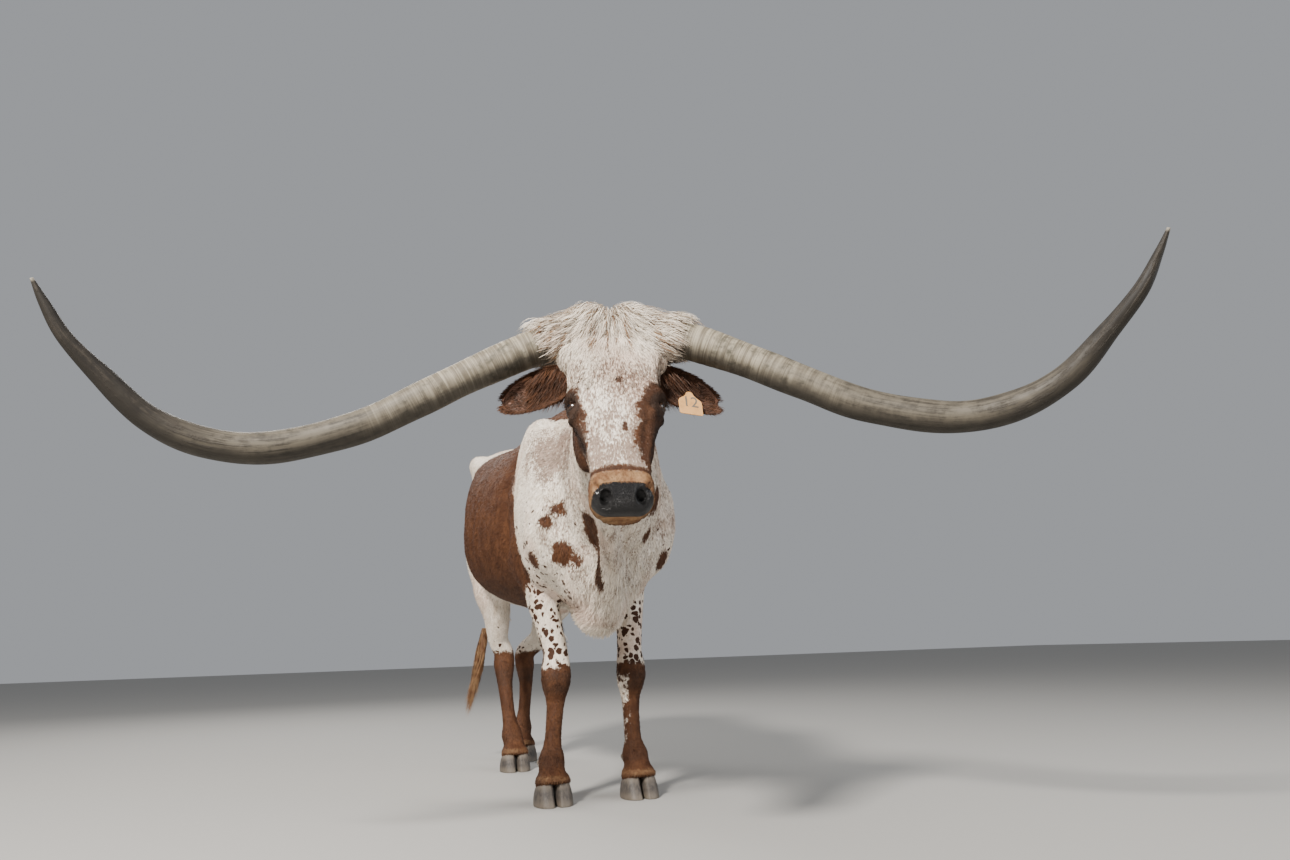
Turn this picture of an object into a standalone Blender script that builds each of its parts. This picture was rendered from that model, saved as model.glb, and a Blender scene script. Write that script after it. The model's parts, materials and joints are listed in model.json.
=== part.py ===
"""Texas longhorn, standing on four feet with its head turned to its right, at life size.

The animal faces -Y with +Z up, so its left side is at +X. Flesh is lofted as closed masses, fused into
one body and parted by thin cuts. Horns, eyes, ears, claws and the ear tag are set in sockets of their own.
"""

import math
import random

import bmesh
import bpy
import numpy as np
from mathutils import Matrix, Vector

GAP = 0.0003
VOXEL = 0.008
TRUNK_TRIANGLES = 1700
HEAD_TRIANGLES = 1900
LIMB_TRIANGLES = 2050
POLL_TRIANGLES = 180

WITHERS_HEIGHT = 1.475
BODY_LENGTH = 1.70
CHEST_Y = -0.31
FORE_HOOF_X = {"left": 0.168, "right": -0.150}
FORE_KNEE_X = {"left": 0.160, "right": -0.128}
ELBOW_X = 0.172
HIND_HOOF_X = {"left": 0.022, "right": -0.090}
HIND_HOCK_X = {"left": 0.058, "right": -0.118}
STIFLE_X = 0.190
HIND_HOOF_Y = {"left": 1.34, "right": 0.98}
HIP_Y = 1.14

HEAD_PLACE = Vector((-0.208, -0.985, 1.375))
HEAD_YAW = math.radians(-12.5)
HORN_YAW = math.radians(-20)
HEAD_PITCH = math.radians(-20)
HEAD_LENGTH = 0.575
EYE_PLACE = Vector((0.110, -0.002, -0.253))
EYE_RADIUS = 0.021

POLL_CUT = -0.030
RIGHT_HORN_DROOP = 0.024
HORN_SIDES = 12

LID_OUT = 0.0150
LID_HALF_LENGTH = 0.0215
LID_HALF_OPEN = 0.0165
LID_THICK = 0.0045

EAR_ROOT = Vector((0.098, 0.050, -0.135))
EAR_LENGTH = 0.205
EAR_WIDTH = 0.120
EAR_THICK = 0.007
EAR_SWEEP = 0.25
EAR_BROADEST = 0.42

TAG_WIDTH = 0.070
TAG_HEIGHT = 0.066
TAG_THICK = 0.0025
TAG_CLEAR = 0.023
TAG_BACK = 0.016
PIN_RADIUS = 0.0028

SWITCH_CUT = 0.02

POLL_CENTRE = Vector((0, 0.035, 0.000))
POLL_RADII = Vector((0.122, 0.072, 0.078))
POLL_TIERS = ((76, 12, 0.100), (54, 11, 0.140), (30, 8, 0.165), (10, 4, 0.150))
POLL_LOCK_WIDTH = 0.070
EAR_LOCKS = 8
SWITCH_LOCKS = 14
SWITCH_LENGTH = 0.40
LOCK_THICK = 0.009
LOCK_FULL = 0.35
POLL_THIN = 0.50
SWITCH_THIN = 0.70
LOCK_CLEAR = 0.0008

CLAW_WIDTH = 0.066
CLAW_LENGTH = 0.118
CLEFT = 0.007
CORONET_FRONT = 0.082
CORONET_BACK = 0.050

HIDE_RED = (0.26, 0.09, 0.045)
HIDE_DARK = (0.09, 0.045, 0.03)
HAIR_TAN = (0.55, 0.36, 0.18)
HAIR_CREAM = (0.72, 0.60, 0.43)
HORN_IVORY = (0.62, 0.55, 0.42)
HOOF_GREY = (0.20, 0.17, 0.14)
EYE_BLACK = (0.012, 0.009, 0.008)
TAG_TAN = (0.66, 0.50, 0.30)

SIDES = (("left", 1), ("right", -1))


def material(name, colour, roughness):
    """A Principled finish with one colour."""
    made = bpy.data.materials.get(name)
    if made:
        return made
    made = bpy.data.materials.new(name)
    made.use_nodes = True
    shader = made.node_tree.nodes["Principled BSDF"]
    shader.inputs["Base Color"].default_value = (*colour, 1)
    shader.inputs["Roughness"].default_value = roughness
    made.diffuse_color = (*colour, 1)
    return made


def add_object(name, bm, finish, collection):
    """The bmesh as a named object in a collection, its faces pointing outwards."""
    bmesh.ops.recalc_face_normals(bm, faces=bm.faces)
    mesh = bpy.data.meshes.new(name)
    bm.to_mesh(mesh)
    bm.free()
    obj = bpy.data.objects.new(name, mesh)
    if finish:
        mesh.materials.append(finish)
    collection.objects.link(obj)
    return obj


def smooth_rows(rows, steps):
    """The rows of numbers with Catmull-Rom rows between them, and the same ends."""
    rows = [rows[0], *rows, rows[-1]]
    found = []
    for before, first, second, after in zip(rows, rows[1:], rows[2:], rows[3:]):
        for step in range(steps):
            t = step / steps
            found.append(
                [
                    0.5 * (2 * q + (r - p) * t + (2 * p - 5 * q + 4 * r - s) * t * t + (3 * q - p - 3 * r + s) * t**3)
                    for p, q, r, s in zip(before, first, second, after)
                ]
            )
    found.append(list(rows[-1]))
    return found


def oval(centre, side, ahead, half, front, back, power, sides):
    """Points of a superellipse that reaches half to each side, front ahead and back behind."""
    points = []
    for index in range(sides):
        turn = 2 * math.pi * index / sides
        c, s = math.cos(turn), math.sin(turn)
        across = half * math.copysign(abs(c) ** (2 / power), c)
        reach = (front if s > 0 else back) * math.copysign(abs(s) ** (2 / power), s)
        points.append(centre + side * across + ahead * reach)
    return points


def add_rings(bm, rings):
    """Bridges rings of points into a closed surface."""
    loops = [[bm.verts.new(point) for point in ring] for ring in rings]
    count = len(loops[0])
    for low, high in zip(loops, loops[1:]):
        for i in range(count):
            bm.faces.new((low[i], low[(i + 1) % count], high[(i + 1) % count], high[i]))
    bm.faces.new(reversed(loops[0]))
    bm.faces.new(loops[-1])


def loft(bm, rows, side, ahead, steps=3, sides=22, along=None, place=None):
    """A closed mass through rows of x, y, z, half width, reach ahead, reach behind and power."""
    rows = smooth_rows(rows, steps)
    centres = [Vector(row[:3]) for row in rows]
    rings = []
    for index, row in enumerate(rows):
        before, after = centres[max(index - 1, 0)], centres[min(index + 1, len(rows) - 1)]
        tangent = along or (after - before).normalized()
        across = (side - tangent * side.dot(tangent)).normalized()
        forward = across.cross(tangent)
        if forward.dot(ahead) < 0:
            forward.negate()
        ring = oval(centres[index], across, forward, *row[3:7], sides)
        rings.append([place @ point for point in ring] if place else ring)
    add_rings(bm, rings)


def ball(bm, centre, radii, place=None):
    """An ellipsoid mass."""
    matrix = (place or Matrix()) @ Matrix.Translation(centre) @ Matrix.Diagonal((*radii, 1))
    bmesh.ops.create_uvsphere(bm, u_segments=20, v_segments=12, radius=1, matrix=matrix)


def evaluated_mesh(obj):
    """The object's mesh with its modifiers applied."""
    bpy.context.view_layer.update()
    graph = bpy.context.evaluated_depsgraph_get()
    return bpy.data.meshes.new_from_object(obj.evaluated_get(graph))


def apply_modifiers(obj):
    """Applies every modifier on the object."""
    mesh = evaluated_mesh(obj)
    obj.modifiers.clear()
    old = obj.data
    obj.data = mesh
    bpy.data.meshes.remove(old)


def combine(obj, others, operation, collection, solver="EXACT"):
    """One applied Boolean with a collection of closed objects, which are then removed."""
    for other in others:
        for holder in other.users_collection:
            holder.objects.unlink(other)
        collection.objects.link(other)
    modifier = obj.modifiers.new(operation.title(), "BOOLEAN")
    modifier.operation = operation
    modifier.operand_type = "COLLECTION"
    modifier.collection = collection
    modifier.solver = solver
    apply_modifiers(obj)
    for other in others:
        bpy.data.objects.remove(other)
    keep_largest(obj)


def islands_of(bm):
    """Lists of the faces of each connected surface, largest volume first."""
    left = set(bm.faces)
    found = []
    while left:
        start = left.pop()
        island, edge = [start], [start]
        while edge:
            near = {f for e in edge.pop().edges for f in e.link_faces} & left
            left -= near
            island += near
            edge += near
        found.append(island)
    return sorted(found, key=volume_of, reverse=True)


def volume_of(faces):
    """The volume that the faces enclose."""
    total = 0.0
    for face in faces:
        first = face.verts[0].co
        for second, third in zip(face.verts[1:], face.verts[2:]):
            total += first.dot(second.co.cross(third.co)) / 6
    return total


def keep_largest(obj):
    """Drops all but the object's largest closed surface."""
    bm = bmesh.new()
    bm.from_mesh(obj.data)
    bmesh.ops.triangulate(bm, faces=bm.faces)
    for island in islands_of(bm)[1:]:
        bmesh.ops.delete(bm, geom=island, context="FACES")
    bmesh.ops.dissolve_degenerate(bm, dist=1e-5, edges=bm.edges)
    bmesh.ops.triangulate(bm, faces=bm.faces)
    bm.to_mesh(obj.data)
    bm.free()


def head_matrix():
    """Carries head coordinates, with the poll at the origin and the face along -Z, to the body's."""
    return Matrix.Translation(HEAD_PLACE) @ Matrix.Rotation(HEAD_YAW, 4, "Z") @ Matrix.Rotation(HEAD_PITCH, 4, "X")


def add_torso(bm):
    """Barrel, chest, hips and rump, with the shoulder and thigh muscles over them."""
    x, z = Vector((1, 0, 0)), Vector((0, 0, 1))
    top = WITHERS_HEIGHT
    stations = (
        (0.00, top - 0.24, 0.740, 0.120, 0.97, 2.1),
        (0.05, top - 0.17, 0.670, 0.185, 0.97, 2.1),
        (0.12, top - 0.10, 0.645, 0.230, 1.00, 2.1),
        (0.21, top - 0.04, 0.650, 0.250, 1.02, 2.0),
        (0.32, top, 0.665, 0.262, 1.04, 1.95),
        (0.46, top - 0.01, 0.680, 0.290, 1.03, 2.05),
        (0.72, top - 0.030, 0.690, 0.345, 1.00, 2.2),
        (0.98, top - 0.020, 0.705, 0.370, 1.02, 2.35),
        (1.18, top + 0.015, 0.745, 0.358, 1.08, 2.6),
        (1.34, top + 0.040, 0.810, 0.320, 1.16, 2.9),
        (1.50, top + 0.020, 0.870, 0.285, 1.18, 2.8),
        (1.64, top - 0.030, 0.920, 0.225, 1.19, 2.5),
        (BODY_LENGTH, top - 0.120, 1.000, 0.130, 1.18, 2.2),
    )
    rows = [
        (0, CHEST_Y + y, wide, half, high - wide, wide - low, power)
        for y, high, low, half, wide, power in stations
    ]
    loft(bm, rows, x, z, along=Vector((0, 1, 0)), sides=32)
    ball(bm, (0, 0.48, 0.715), (0.050, 0.18, 0.045))
    for side, sign in SIDES:
        stride = HIND_HOOF_Y[side] - HIP_Y
        ball(bm, (sign * 0.180, -0.04, 1.04), (0.118, 0.17, 0.30))
        ball(bm, (sign * 0.170, 0.08, 1.20), (0.095, 0.19, 0.22))
        ball(bm, (sign * 0.200, 0.10, 0.92), (0.092, 0.18, 0.18))
        ball(bm, (sign * 0.165, -0.15, 0.98), (0.128, 0.14, 0.22))
        ball(bm, (sign * 0.262, 1.03, 1.410), (0.050, 0.09, 0.055))
        ball(bm, (sign * 0.190, HIP_Y + 0.25 * stride, 1.05), (0.120, 0.23, 0.29))
        ball(bm, (sign * 0.110, 1.33, 1.23), (0.062, 0.08, 0.16))


def add_neck(bm):
    """Neck from between the shoulders to the back of the head, with the dewlap under it."""
    head = head_matrix()
    nape = head @ Vector((0, 0.10, -0.075))
    throat = head @ Vector((0, 0.13, -0.20))
    side, up = Vector((1, 0, 0)), Vector((0, 0, 1))
    rows = (
        (0.00, 0.10, 1.08, 0.230, 0.34, 0.36, 2.2),
        (0.01, -0.14, 1.09, 0.215, 0.325, 0.33, 2.2),
        (-0.015, -0.36, 1.11, 0.172, 0.290, 0.26, 2.2),
        (-0.085, -0.58, 1.15, 0.132, 0.235, 0.20, 2.2),
        (nape.x + 0.02, nape.y - 0.02, nape.z - 0.06, 0.100, 0.125, 0.15, 2.2),
        (nape.x - 0.02, nape.y - 0.09, nape.z - 0.07, 0.080, 0.08, 0.11, 2.2),
    )
    loft(bm, rows, side, up, steps=4)
    rows = (
        (0.0, 0.10, 0.70, 0.050, 0.10, 0.060, 2.0),
        (0.0, 0.00, 0.67, 0.072, 0.12, 0.075, 2.0),
        (0.0, -0.13, 0.66, 0.080, 0.14, 0.100, 2.0),
        (-0.01, -0.26, 0.71, 0.060, 0.16, 0.090, 2.0),
        (-0.05, -0.42, 0.84, 0.036, 0.14, 0.075, 2.0),
        (-0.11, -0.60, 0.95, 0.030, 0.12, 0.060, 2.0),
        (throat.x + 0.03, throat.y + 0.12, throat.z - 0.05, 0.028, 0.08, 0.045, 2.0),
        (throat.x, throat.y, throat.z, 0.024, 0.04, 0.03, 2.0),
    )
    loft(bm, rows, side, up, steps=3, sides=16)


def add_head(bm):
    """Skull, cheeks, brows, muzzle and jaw in head coordinates, carried to the head's place."""
    place = head_matrix()
    down = -HEAD_LENGTH
    stations = (
        (-0.035, 0.045, 0.000, 0.085),
        (-0.012, 0.083, 0.022, 0.120),
        (0.060, 0.110, 0.040, 0.150),
        (0.180, 0.121, 0.052, 0.165),
        (0.290, 0.123, 0.058, 0.180),
        (0.380, 0.123, 0.060, 0.195),
        (0.460, 0.119, 0.059, 0.205),
        (0.550, 0.105, 0.055, 0.195),
        (0.640, 0.089, 0.050, 0.160),
        (0.730, 0.078, 0.048, 0.125),
        (0.800, 0.077, 0.048, 0.105),
        (0.870, 0.083, 0.050, 0.097),
        (0.930, 0.084, 0.048, 0.090),
        (0.975, 0.068, 0.034, 0.078),
        (1.000, 0.045, 0.012, 0.055),
    )
    rows = [(0, 0, down * share, half, front, back, 2.5) for share, half, front, back in stations]
    loft(bm, rows, Vector((1, 0, 0)), Vector((0, -1, 0)), along=Vector((0, 0, -1)), sides=28, place=place)
    ball(bm, POLL_CENTRE, POLL_RADII, place)
    for _, sign in SIDES:
        ball(bm, (sign * 0.103, -0.004, -0.218), (0.032, 0.041, 0.027), place)
        ball(bm, (sign * 0.104, 0.014, -0.270), (0.024, 0.036, 0.030), place)
        ball(bm, (sign * 0.078, 0.105, -0.270), (0.036, 0.085, 0.110), place)
        ball(bm, (sign * 0.052, 0.000, -0.500), (0.034, 0.052, 0.042), place)
    ball(bm, (0, 0.045, -0.535), (0.050, 0.040, 0.036), place)


def foreleg_rows(side, sign):
    """Rows down a foreleg, from inside the shoulder to the coronet."""
    elbow, knee, hoof = sign * ELBOW_X, FORE_KNEE_X[side], FORE_HOOF_X[side]
    arm = (elbow + knee) / 2
    return (
        (elbow * 1.04, 0.130, 0.980, 0.070, 0.120, 0.100, 2.1),
        (elbow * 1.03, 0.090, 0.820, 0.074, 0.100, 0.095, 2.1),
        (elbow, 0.060, 0.720, 0.062, 0.078, 0.078, 2.1),
        (arm, 0.042, 0.620, 0.051, 0.062, 0.062, 2.1),
        (knee, 0.030, 0.520, 0.047, 0.052, 0.050, 2.2),
        (knee, 0.024, 0.465, 0.054, 0.056, 0.046, 2.4),
        (knee, 0.022, 0.425, 0.057, 0.058, 0.046, 2.4),
        (knee, 0.026, 0.385, 0.050, 0.048, 0.044, 2.3),
        (knee, 0.030, 0.340, 0.036, 0.036, 0.040, 2.2),
        (knee * 0.7 + hoof * 0.3, 0.030, 0.250, 0.032, 0.033, 0.038, 2.2),
        (knee * 0.4 + hoof * 0.6, 0.026, 0.190, 0.035, 0.035, 0.040, 2.2),
        (knee * 0.2 + hoof * 0.8, 0.018, 0.150, 0.050, 0.045, 0.050, 2.3),
        (hoof, 0.004, 0.115, 0.047, 0.044, 0.044, 2.3),
        (hoof, -0.012, 0.078, 0.058, 0.052, 0.050, 2.5),
        (hoof, -0.022, 0.045, 0.060, 0.052, 0.050, 2.5),
    )


def hindleg_rows(side, sign):
    """Rows down a hind leg, from inside the thigh to the coronet."""
    stifle, hock, hoof = sign * STIFLE_X, HIND_HOCK_X[side], HIND_HOOF_X[side]
    gaskin = (stifle + hock) / 2
    y = HIND_HOOF_Y[side]
    hip = HIP_Y
    return (
        (stifle, hip - 0.02, 1.100, 0.110, 0.190, 0.170, 2.1),
        (stifle, hip + 0.15 * (y - hip) - 0.04, 0.950, 0.104, 0.170, 0.160, 2.1),
        (stifle, hip + 0.40 * (y - hip) - 0.04, 0.810, 0.086, 0.125, 0.125, 2.1),
        (gaskin * 1.06, hip + 0.66 * (y - hip) + 0.02, 0.690, 0.064, 0.086, 0.085, 2.1),
        (gaskin * 0.98, hip + 0.86 * (y - hip) + 0.09, 0.590, 0.049, 0.060, 0.060, 2.2),
        (hock, y + 0.125, 0.520, 0.048, 0.050, 0.062, 2.3),
        (hock, y + 0.120, 0.470, 0.051, 0.052, 0.060, 2.3),
        (hock, y + 0.105, 0.420, 0.044, 0.044, 0.046, 2.2),
        (hock, y + 0.090, 0.370, 0.036, 0.037, 0.040, 2.2),
        (hock * 0.7 + hoof * 0.3, y + 0.065, 0.270, 0.033, 0.035, 0.038, 2.2),
        (hock * 0.4 + hoof * 0.6, y + 0.048, 0.200, 0.036, 0.037, 0.040, 2.2),
        (hock * 0.2 + hoof * 0.8, y + 0.036, 0.158, 0.050, 0.045, 0.050, 2.3),
        (hoof, y + 0.016, 0.118, 0.047, 0.044, 0.044, 2.3),
        (hoof, y - 0.010, 0.078, 0.056, 0.050, 0.050, 2.5),
        (hoof, y - 0.022, 0.045, 0.058, 0.050, 0.050, 2.5),
    )


def add_legs(bm):
    """The four legs."""
    for side, sign in SIDES:
        for rows in (foreleg_rows(side, sign), hindleg_rows(side, sign)):
            loft(bm, rows, Vector((1, 0, 0)), Vector((0, -1, 0)), steps=3, sides=20)


TAIL_PATH = (
    (0.0, 1.28, 1.420, 0.050, 0.030, 0.045, 2.0),
    (0.0, 1.39, 1.375, 0.042, 0.034, 0.045, 2.0),
    (0.0, 1.445, 1.29, 0.032, 0.030, 0.032, 2.0),
    (-0.01, 1.464, 1.19, 0.026, 0.024, 0.026, 2.0),
    (-0.03, 1.468, 1.06, 0.022, 0.020, 0.022, 2.0),
    (-0.07, 1.466, 0.89, 0.019, 0.018, 0.019, 2.0),
    (-0.12, 1.460, 0.71, 0.017, 0.016, 0.017, 2.0),
    (-0.155, 1.455, 0.60, 0.016, 0.015, 0.016, 2.0),
)


def add_tail(bm):
    """The tail from its root down to the switch."""
    loft(bm, TAIL_PATH, Vector((1, 0, 0)), Vector((0, 0, 1)), steps=4, sides=12)


def fuse_body(collection):
    """All flesh as one smooth body of a few thousand triangles."""
    bm = bmesh.new()
    for add in (add_torso, add_neck, add_head, add_legs, add_tail):
        add(bm)
    body = add_object("body", bm, material("hide_red", HIDE_RED, 0.75), collection)
    remesh = body.modifiers.new("Fuse", "REMESH")
    remesh.mode = "VOXEL"
    remesh.voxel_size = VOXEL
    apply_modifiers(body)
    soften(body)
    thin_region(body, "trunk", TRUNK_TRIANGLES)
    thin_region(body, "head", HEAD_TRIANGLES)
    thin_region(body, "limbs", LIMB_TRIANGLES)
    thin_region(body, "poll", POLL_TRIANGLES)
    keep_largest(body)
    return body


def region_shares(body, region):
    """How far each vertex belongs to the trunk, the head, the poll or the limbs and tail, from 0 to 1."""
    count = len(body.data.vertices)
    points = np.empty(count * 3)
    body.data.vertices.foreach_get("co", points)
    points = points.reshape(-1, 3)
    into_head = np.array(head_matrix().inverted())
    behind = points @ into_head[1, :3] + into_head[1, 3]
    head = np.clip((0.16 - behind) / 0.05, 0, 1)
    trunk = np.clip((points[:, 2] - 0.62) / 0.18, 0, 1) * (points[:, 1] < 1.41) * (1 - head)
    above = points @ into_head[2, :3] + into_head[2, 3]
    poll = head * (above > POLL_CUT + 0.02)
    return {"trunk": trunk, "head": head - poll, "poll": poll, "limbs": 1 - trunk - head}[region]


def set_group(body, name, shares):
    """Gives the body one vertex group with these shares."""
    group = body.vertex_groups.new(name=name)
    for step in range(11):
        index = np.nonzero(np.round(shares * 10) == step)[0]
        group.add([int(i) for i in index], step / 10, "REPLACE")


def soften(body):
    """Smooths the body, more on the trunk than on the head and the lower legs."""
    trunk = region_shares(body, "trunk")
    for name, shares, iterations in (("all", trunk * 0 + 1, 5), ("trunk", trunk, 45)):
        set_group(body, name, shares)
        smooth = body.modifiers.new(name, "SMOOTH")
        smooth.factor = 0.5
        smooth.iterations = iterations
        smooth.vertex_group = name
    apply_modifiers(body)
    body.vertex_groups.clear()


def thin_region(body, region, triangles):
    """Thins one region of the body to about so many triangles."""
    shares = region_shares(body, region)
    set_group(body, region, np.where(shares > 0.5, 1.0, 0.0))
    whole = inside = 0
    for face in body.data.polygons:
        size = len(face.vertices) - 2
        whole += size
        inside += size * (shares[face.vertices[0]] > 0.5)
    thin = body.modifiers.new("Thin", "DECIMATE")
    thin.ratio = 1 - (inside - triangles) / whole
    thin.use_collapse_triangulate = True
    thin.vertex_group = region
    thin.vertex_group_factor = 10
    apply_modifiers(body)
    body.vertex_groups.clear()


def slab(name, centre, normal, half_side, half_rise, collection, up=Vector((0, 1, 0))):
    """A thin plate square to a normal, which parts the body where it passes through it."""
    normal = normal.normalized()
    side = up.cross(normal).normalized()
    rise = normal.cross(side)
    frame = Matrix((side, rise, normal)).transposed().to_4x4()
    bm = bmesh.new()
    matrix = Matrix.Translation(centre) @ frame @ Matrix.Diagonal((2 * half_side, 2 * half_rise, GAP, 1))
    bmesh.ops.create_cube(bm, size=1, matrix=matrix)
    return add_object(name, bm, None, collection)


def parting_slabs(collection):
    """The cuts at the head, neck, tail, and the tops and middles of the legs."""
    head = head_matrix()
    turned = head.to_3x3()
    z = Vector((0, 0, 1))
    found = [
        slab("cut_poll", head @ Vector((0, 0.010, POLL_CUT)), turned @ Vector((0, 0.15, 1)), 0.16, 0.122, collection, turned.col[1]),
        slab("cut_head", head @ Vector((0, 0.135, -0.09)), turned @ Vector((0, 1.0, 0.42)), 0.25, 0.30, collection, z),
        slab("cut_neck", Vector((0, -0.20, 1.0)), Vector((-0.05, -1, 0.28)), 0.40, 0.60, collection, z),
        slab("cut_tail", Vector((-0.005, 1.455, 1.225)), Vector((0, -0.15, 1)), 0.055, 0.042, collection),
        slab("cut_switch", Vector(TAIL_PATH[-1][:3]) + Vector((0, 0, SWITCH_CUT)), z, 0.05, 0.05, collection),
    ]
    for side, sign in SIDES:
        back = HIND_HOOF_Y[side]
        cuts = (
            (Vector(((sign * ELBOW_X + FORE_KNEE_X[side]) / 2, 0.05, 0.645)), Vector((0, 0, 1)), 0.068, 0.12),
            (Vector((FORE_KNEE_X[side], 0.03, 0.375)), Vector((0, 0, 1)), 0.08, 0.10),
            (Vector((sign * STIFLE_X, (back + HIP_Y) / 2, 0.745)), Vector((0, -0.25, 1)), 0.13, 0.24),
            (Vector((HIND_HOCK_X[side], back + 0.10, 0.415)), Vector((0, -0.2, 1)), 0.08, 0.12),
        )
        for centre, normal, half_side, half_rise in cuts:
            found.append(slab("cut_leg", centre, normal, half_side, half_rise, collection))
        for _, x, y in feet_of(side):
            centre, normal = coronet_plane(x, y)
            found.append(slab("cut_coronet", centre, normal, 0.085, 0.10, collection))
    return found


def feet_of(side):
    """Name and place of the fore and hind foot on one side."""
    return (("fore", FORE_HOOF_X[side], -0.016), ("hind", HIND_HOOF_X[side], HIND_HOOF_Y[side] - 0.016))


def coronet_plane(x, y):
    """Centre and normal of the plane where a pastern meets its claws, lower at the heel."""
    slope = (CORONET_FRONT - CORONET_BACK) / 0.10
    return Vector((x, y, (CORONET_FRONT + CORONET_BACK) / 2)), Vector((0, slope, 1)).normalized()


def name_places():
    """A point in each piece of flesh, by the piece's name."""
    head = head_matrix()
    places = {
        "torso": Vector((0, 0.55, 1.05)),
        "neck": Vector((-0.08, -0.45, 1.10)),
        "head": head @ Vector((0, 0.05, -0.28)),
        "poll": head @ Vector((0, 0.03, 0.03)),
        "tail": Vector((-0.05, 1.44, 1.00)),
    }
    for side, _ in SIDES:
        back = HIND_HOOF_Y[side]
        places[f"foreleg_{side}_upper"] = Vector((FORE_KNEE_X[side], 0.03, 0.52))
        places[f"foreleg_{side}_lower"] = Vector((FORE_KNEE_X[side], 0.02, 0.22))
        places[f"hindleg_{side}_upper"] = Vector((HIND_HOCK_X[side], back + 0.05, 0.60))
        places[f"hindleg_{side}_lower"] = Vector((HIND_HOCK_X[side], back + 0.06, 0.24))
    return places


def part_body(body, cutters, parts):
    """Cuts the body with the slabs and gives each piece its own object."""
    modifier = body.modifiers.new("Part", "BOOLEAN")
    modifier.operation = "DIFFERENCE"
    modifier.operand_type = "COLLECTION"
    modifier.collection = cutters
    modifier.solver = "EXACT"
    parting_slabs(cutters)
    apply_modifiers(body)
    for cutter in list(cutters.objects):
        bpy.data.objects.remove(cutter)
    whole = bmesh.new()
    whole.from_mesh(body.data)
    bmesh.ops.triangulate(whole, faces=whole.faces)
    islands = islands_of(whole)
    places = name_places()
    found = {}
    for island in islands[: len(places)]:
        corners = [v.co for f in island for v in f.verts]
        middle = sum(corners, Vector()) / len(corners)
        name = min(places, key=lambda key: (places[key] - middle).length)
        bm = bmesh.new()
        copies = {}
        for face in island:
            for vert in face.verts:
                if vert not in copies:
                    copies[vert] = bm.verts.new(vert.co)
            bm.faces.new([copies[vert] for vert in face.verts])
        found[name] = add_object(name, bm, body.data.materials[0], parts)
    whole.free()
    bpy.data.objects.remove(body)
    return found


def lids(collection):
    """Upper and lower lid round each eye, as rings that stand a little out of the brow."""
    made = []
    for _, sign in SIDES:
        bm = bmesh.new()
        look = Vector((sign * 0.86, -0.50, 0.05)).normalized()
        side = Vector((0, 0, 1)).cross(look).normalized()
        rise = look.cross(side)
        centre = Vector((sign * EYE_PLACE.x, EYE_PLACE.y, EYE_PLACE.z)) + look * LID_OUT
        rings = []
        for index in range(18):
            turn = 2 * math.pi * index / 18
            out = side * math.cos(turn) + rise * math.sin(turn)
            place = centre + side * math.cos(turn) * LID_HALF_LENGTH + rise * math.sin(turn) * LID_HALF_OPEN
            place -= look * 0.004 * math.cos(turn) ** 2
            thick = LID_THICK * (1.25 if math.sin(turn) > 0 else 1)
            ring = []
            for step in range(6):
                lean = 2 * math.pi * step / 6
                ring.append(head_matrix() @ (place + (out * math.cos(lean) + look * math.sin(lean)) * thick))
            rings.append(ring)
        loops = [[bm.verts.new(point) for point in ring] for ring in rings]
        for low, high in zip(loops, loops[1:] + loops[:1]):
            for i in range(6):
                bm.faces.new((low[i], low[(i + 1) % 6], high[(i + 1) % 6], high[i]))
        made.append(add_object("lid", bm, None, collection))
    return made


def face_cutters(collection):
    """The nostrils, and the mouth as a wedge that closes towards the cheeks."""
    head = head_matrix()
    made = []
    for _, sign in SIDES:
        bm = bmesh.new()
        turn = Matrix.Rotation(sign * math.radians(-28), 4, "Y")
        matrix = head @ Matrix.Translation((sign * 0.047, -0.048, -0.542)) @ turn
        matrix = matrix @ Matrix.Diagonal((0.009, 0.020, 0.019, 1))
        bmesh.ops.create_icosphere(bm, subdivisions=2, radius=1, matrix=matrix)
        made.append(add_object("nostril", bm, None, collection))
    bm = bmesh.new()
    corner = Vector((0, 0.028, -0.445))
    front = Vector((0, -0.040, -0.600))
    across = Vector((0.12, 0, 0))
    lift = Vector((0, 0.0025, -0.0011))
    ends = [[corner + across, corner - across], [front + across - lift, front - across - lift]]
    ends.append([front + across + lift, front - across + lift])
    rows = [[bm.verts.new(head @ point) for point in end] for end in ends]
    for low, high in zip(rows, rows[1:] + rows[:1]):
        bm.faces.new((low[0], low[1], high[1], high[0]))
    for index in (0, 1):
        bm.faces.new([row[index] for row in rows])
    made.append(add_object("mouth", bm, None, collection))
    return made


def dewclaw(name, x, y, grow, finish, collection):
    """A small claw behind a fetlock, or the socket for it."""
    bm = bmesh.new()
    lean = Matrix.Rotation(math.radians(-52), 4, "X")
    matrix = Matrix.Translation((x, y, 0.122)) @ lean
    bmesh.ops.create_cone(
        bm,
        cap_ends=True,
        segments=10,
        radius1=0.0075 + grow,
        radius2=0.0135 + grow,
        depth=0.042 + 2 * grow,
        matrix=matrix,
    )
    return add_object(name, bm, finish, collection)


def disc(name, frame, y, radii, depth, segments, finish, collection):
    """A round piece whose axis runs along the frame's Y, radii at its front and its back."""
    bm = bmesh.new()
    matrix = frame @ Matrix.Translation((0, y, 0)) @ Matrix.Rotation(math.pi / 2, 4, "X")
    bmesh.ops.create_cone(
        bm, cap_ends=True, segments=segments, radius1=radii[1], radius2=radii[0], depth=depth, matrix=matrix
    )
    return add_object(name, bm, finish, collection)


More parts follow.
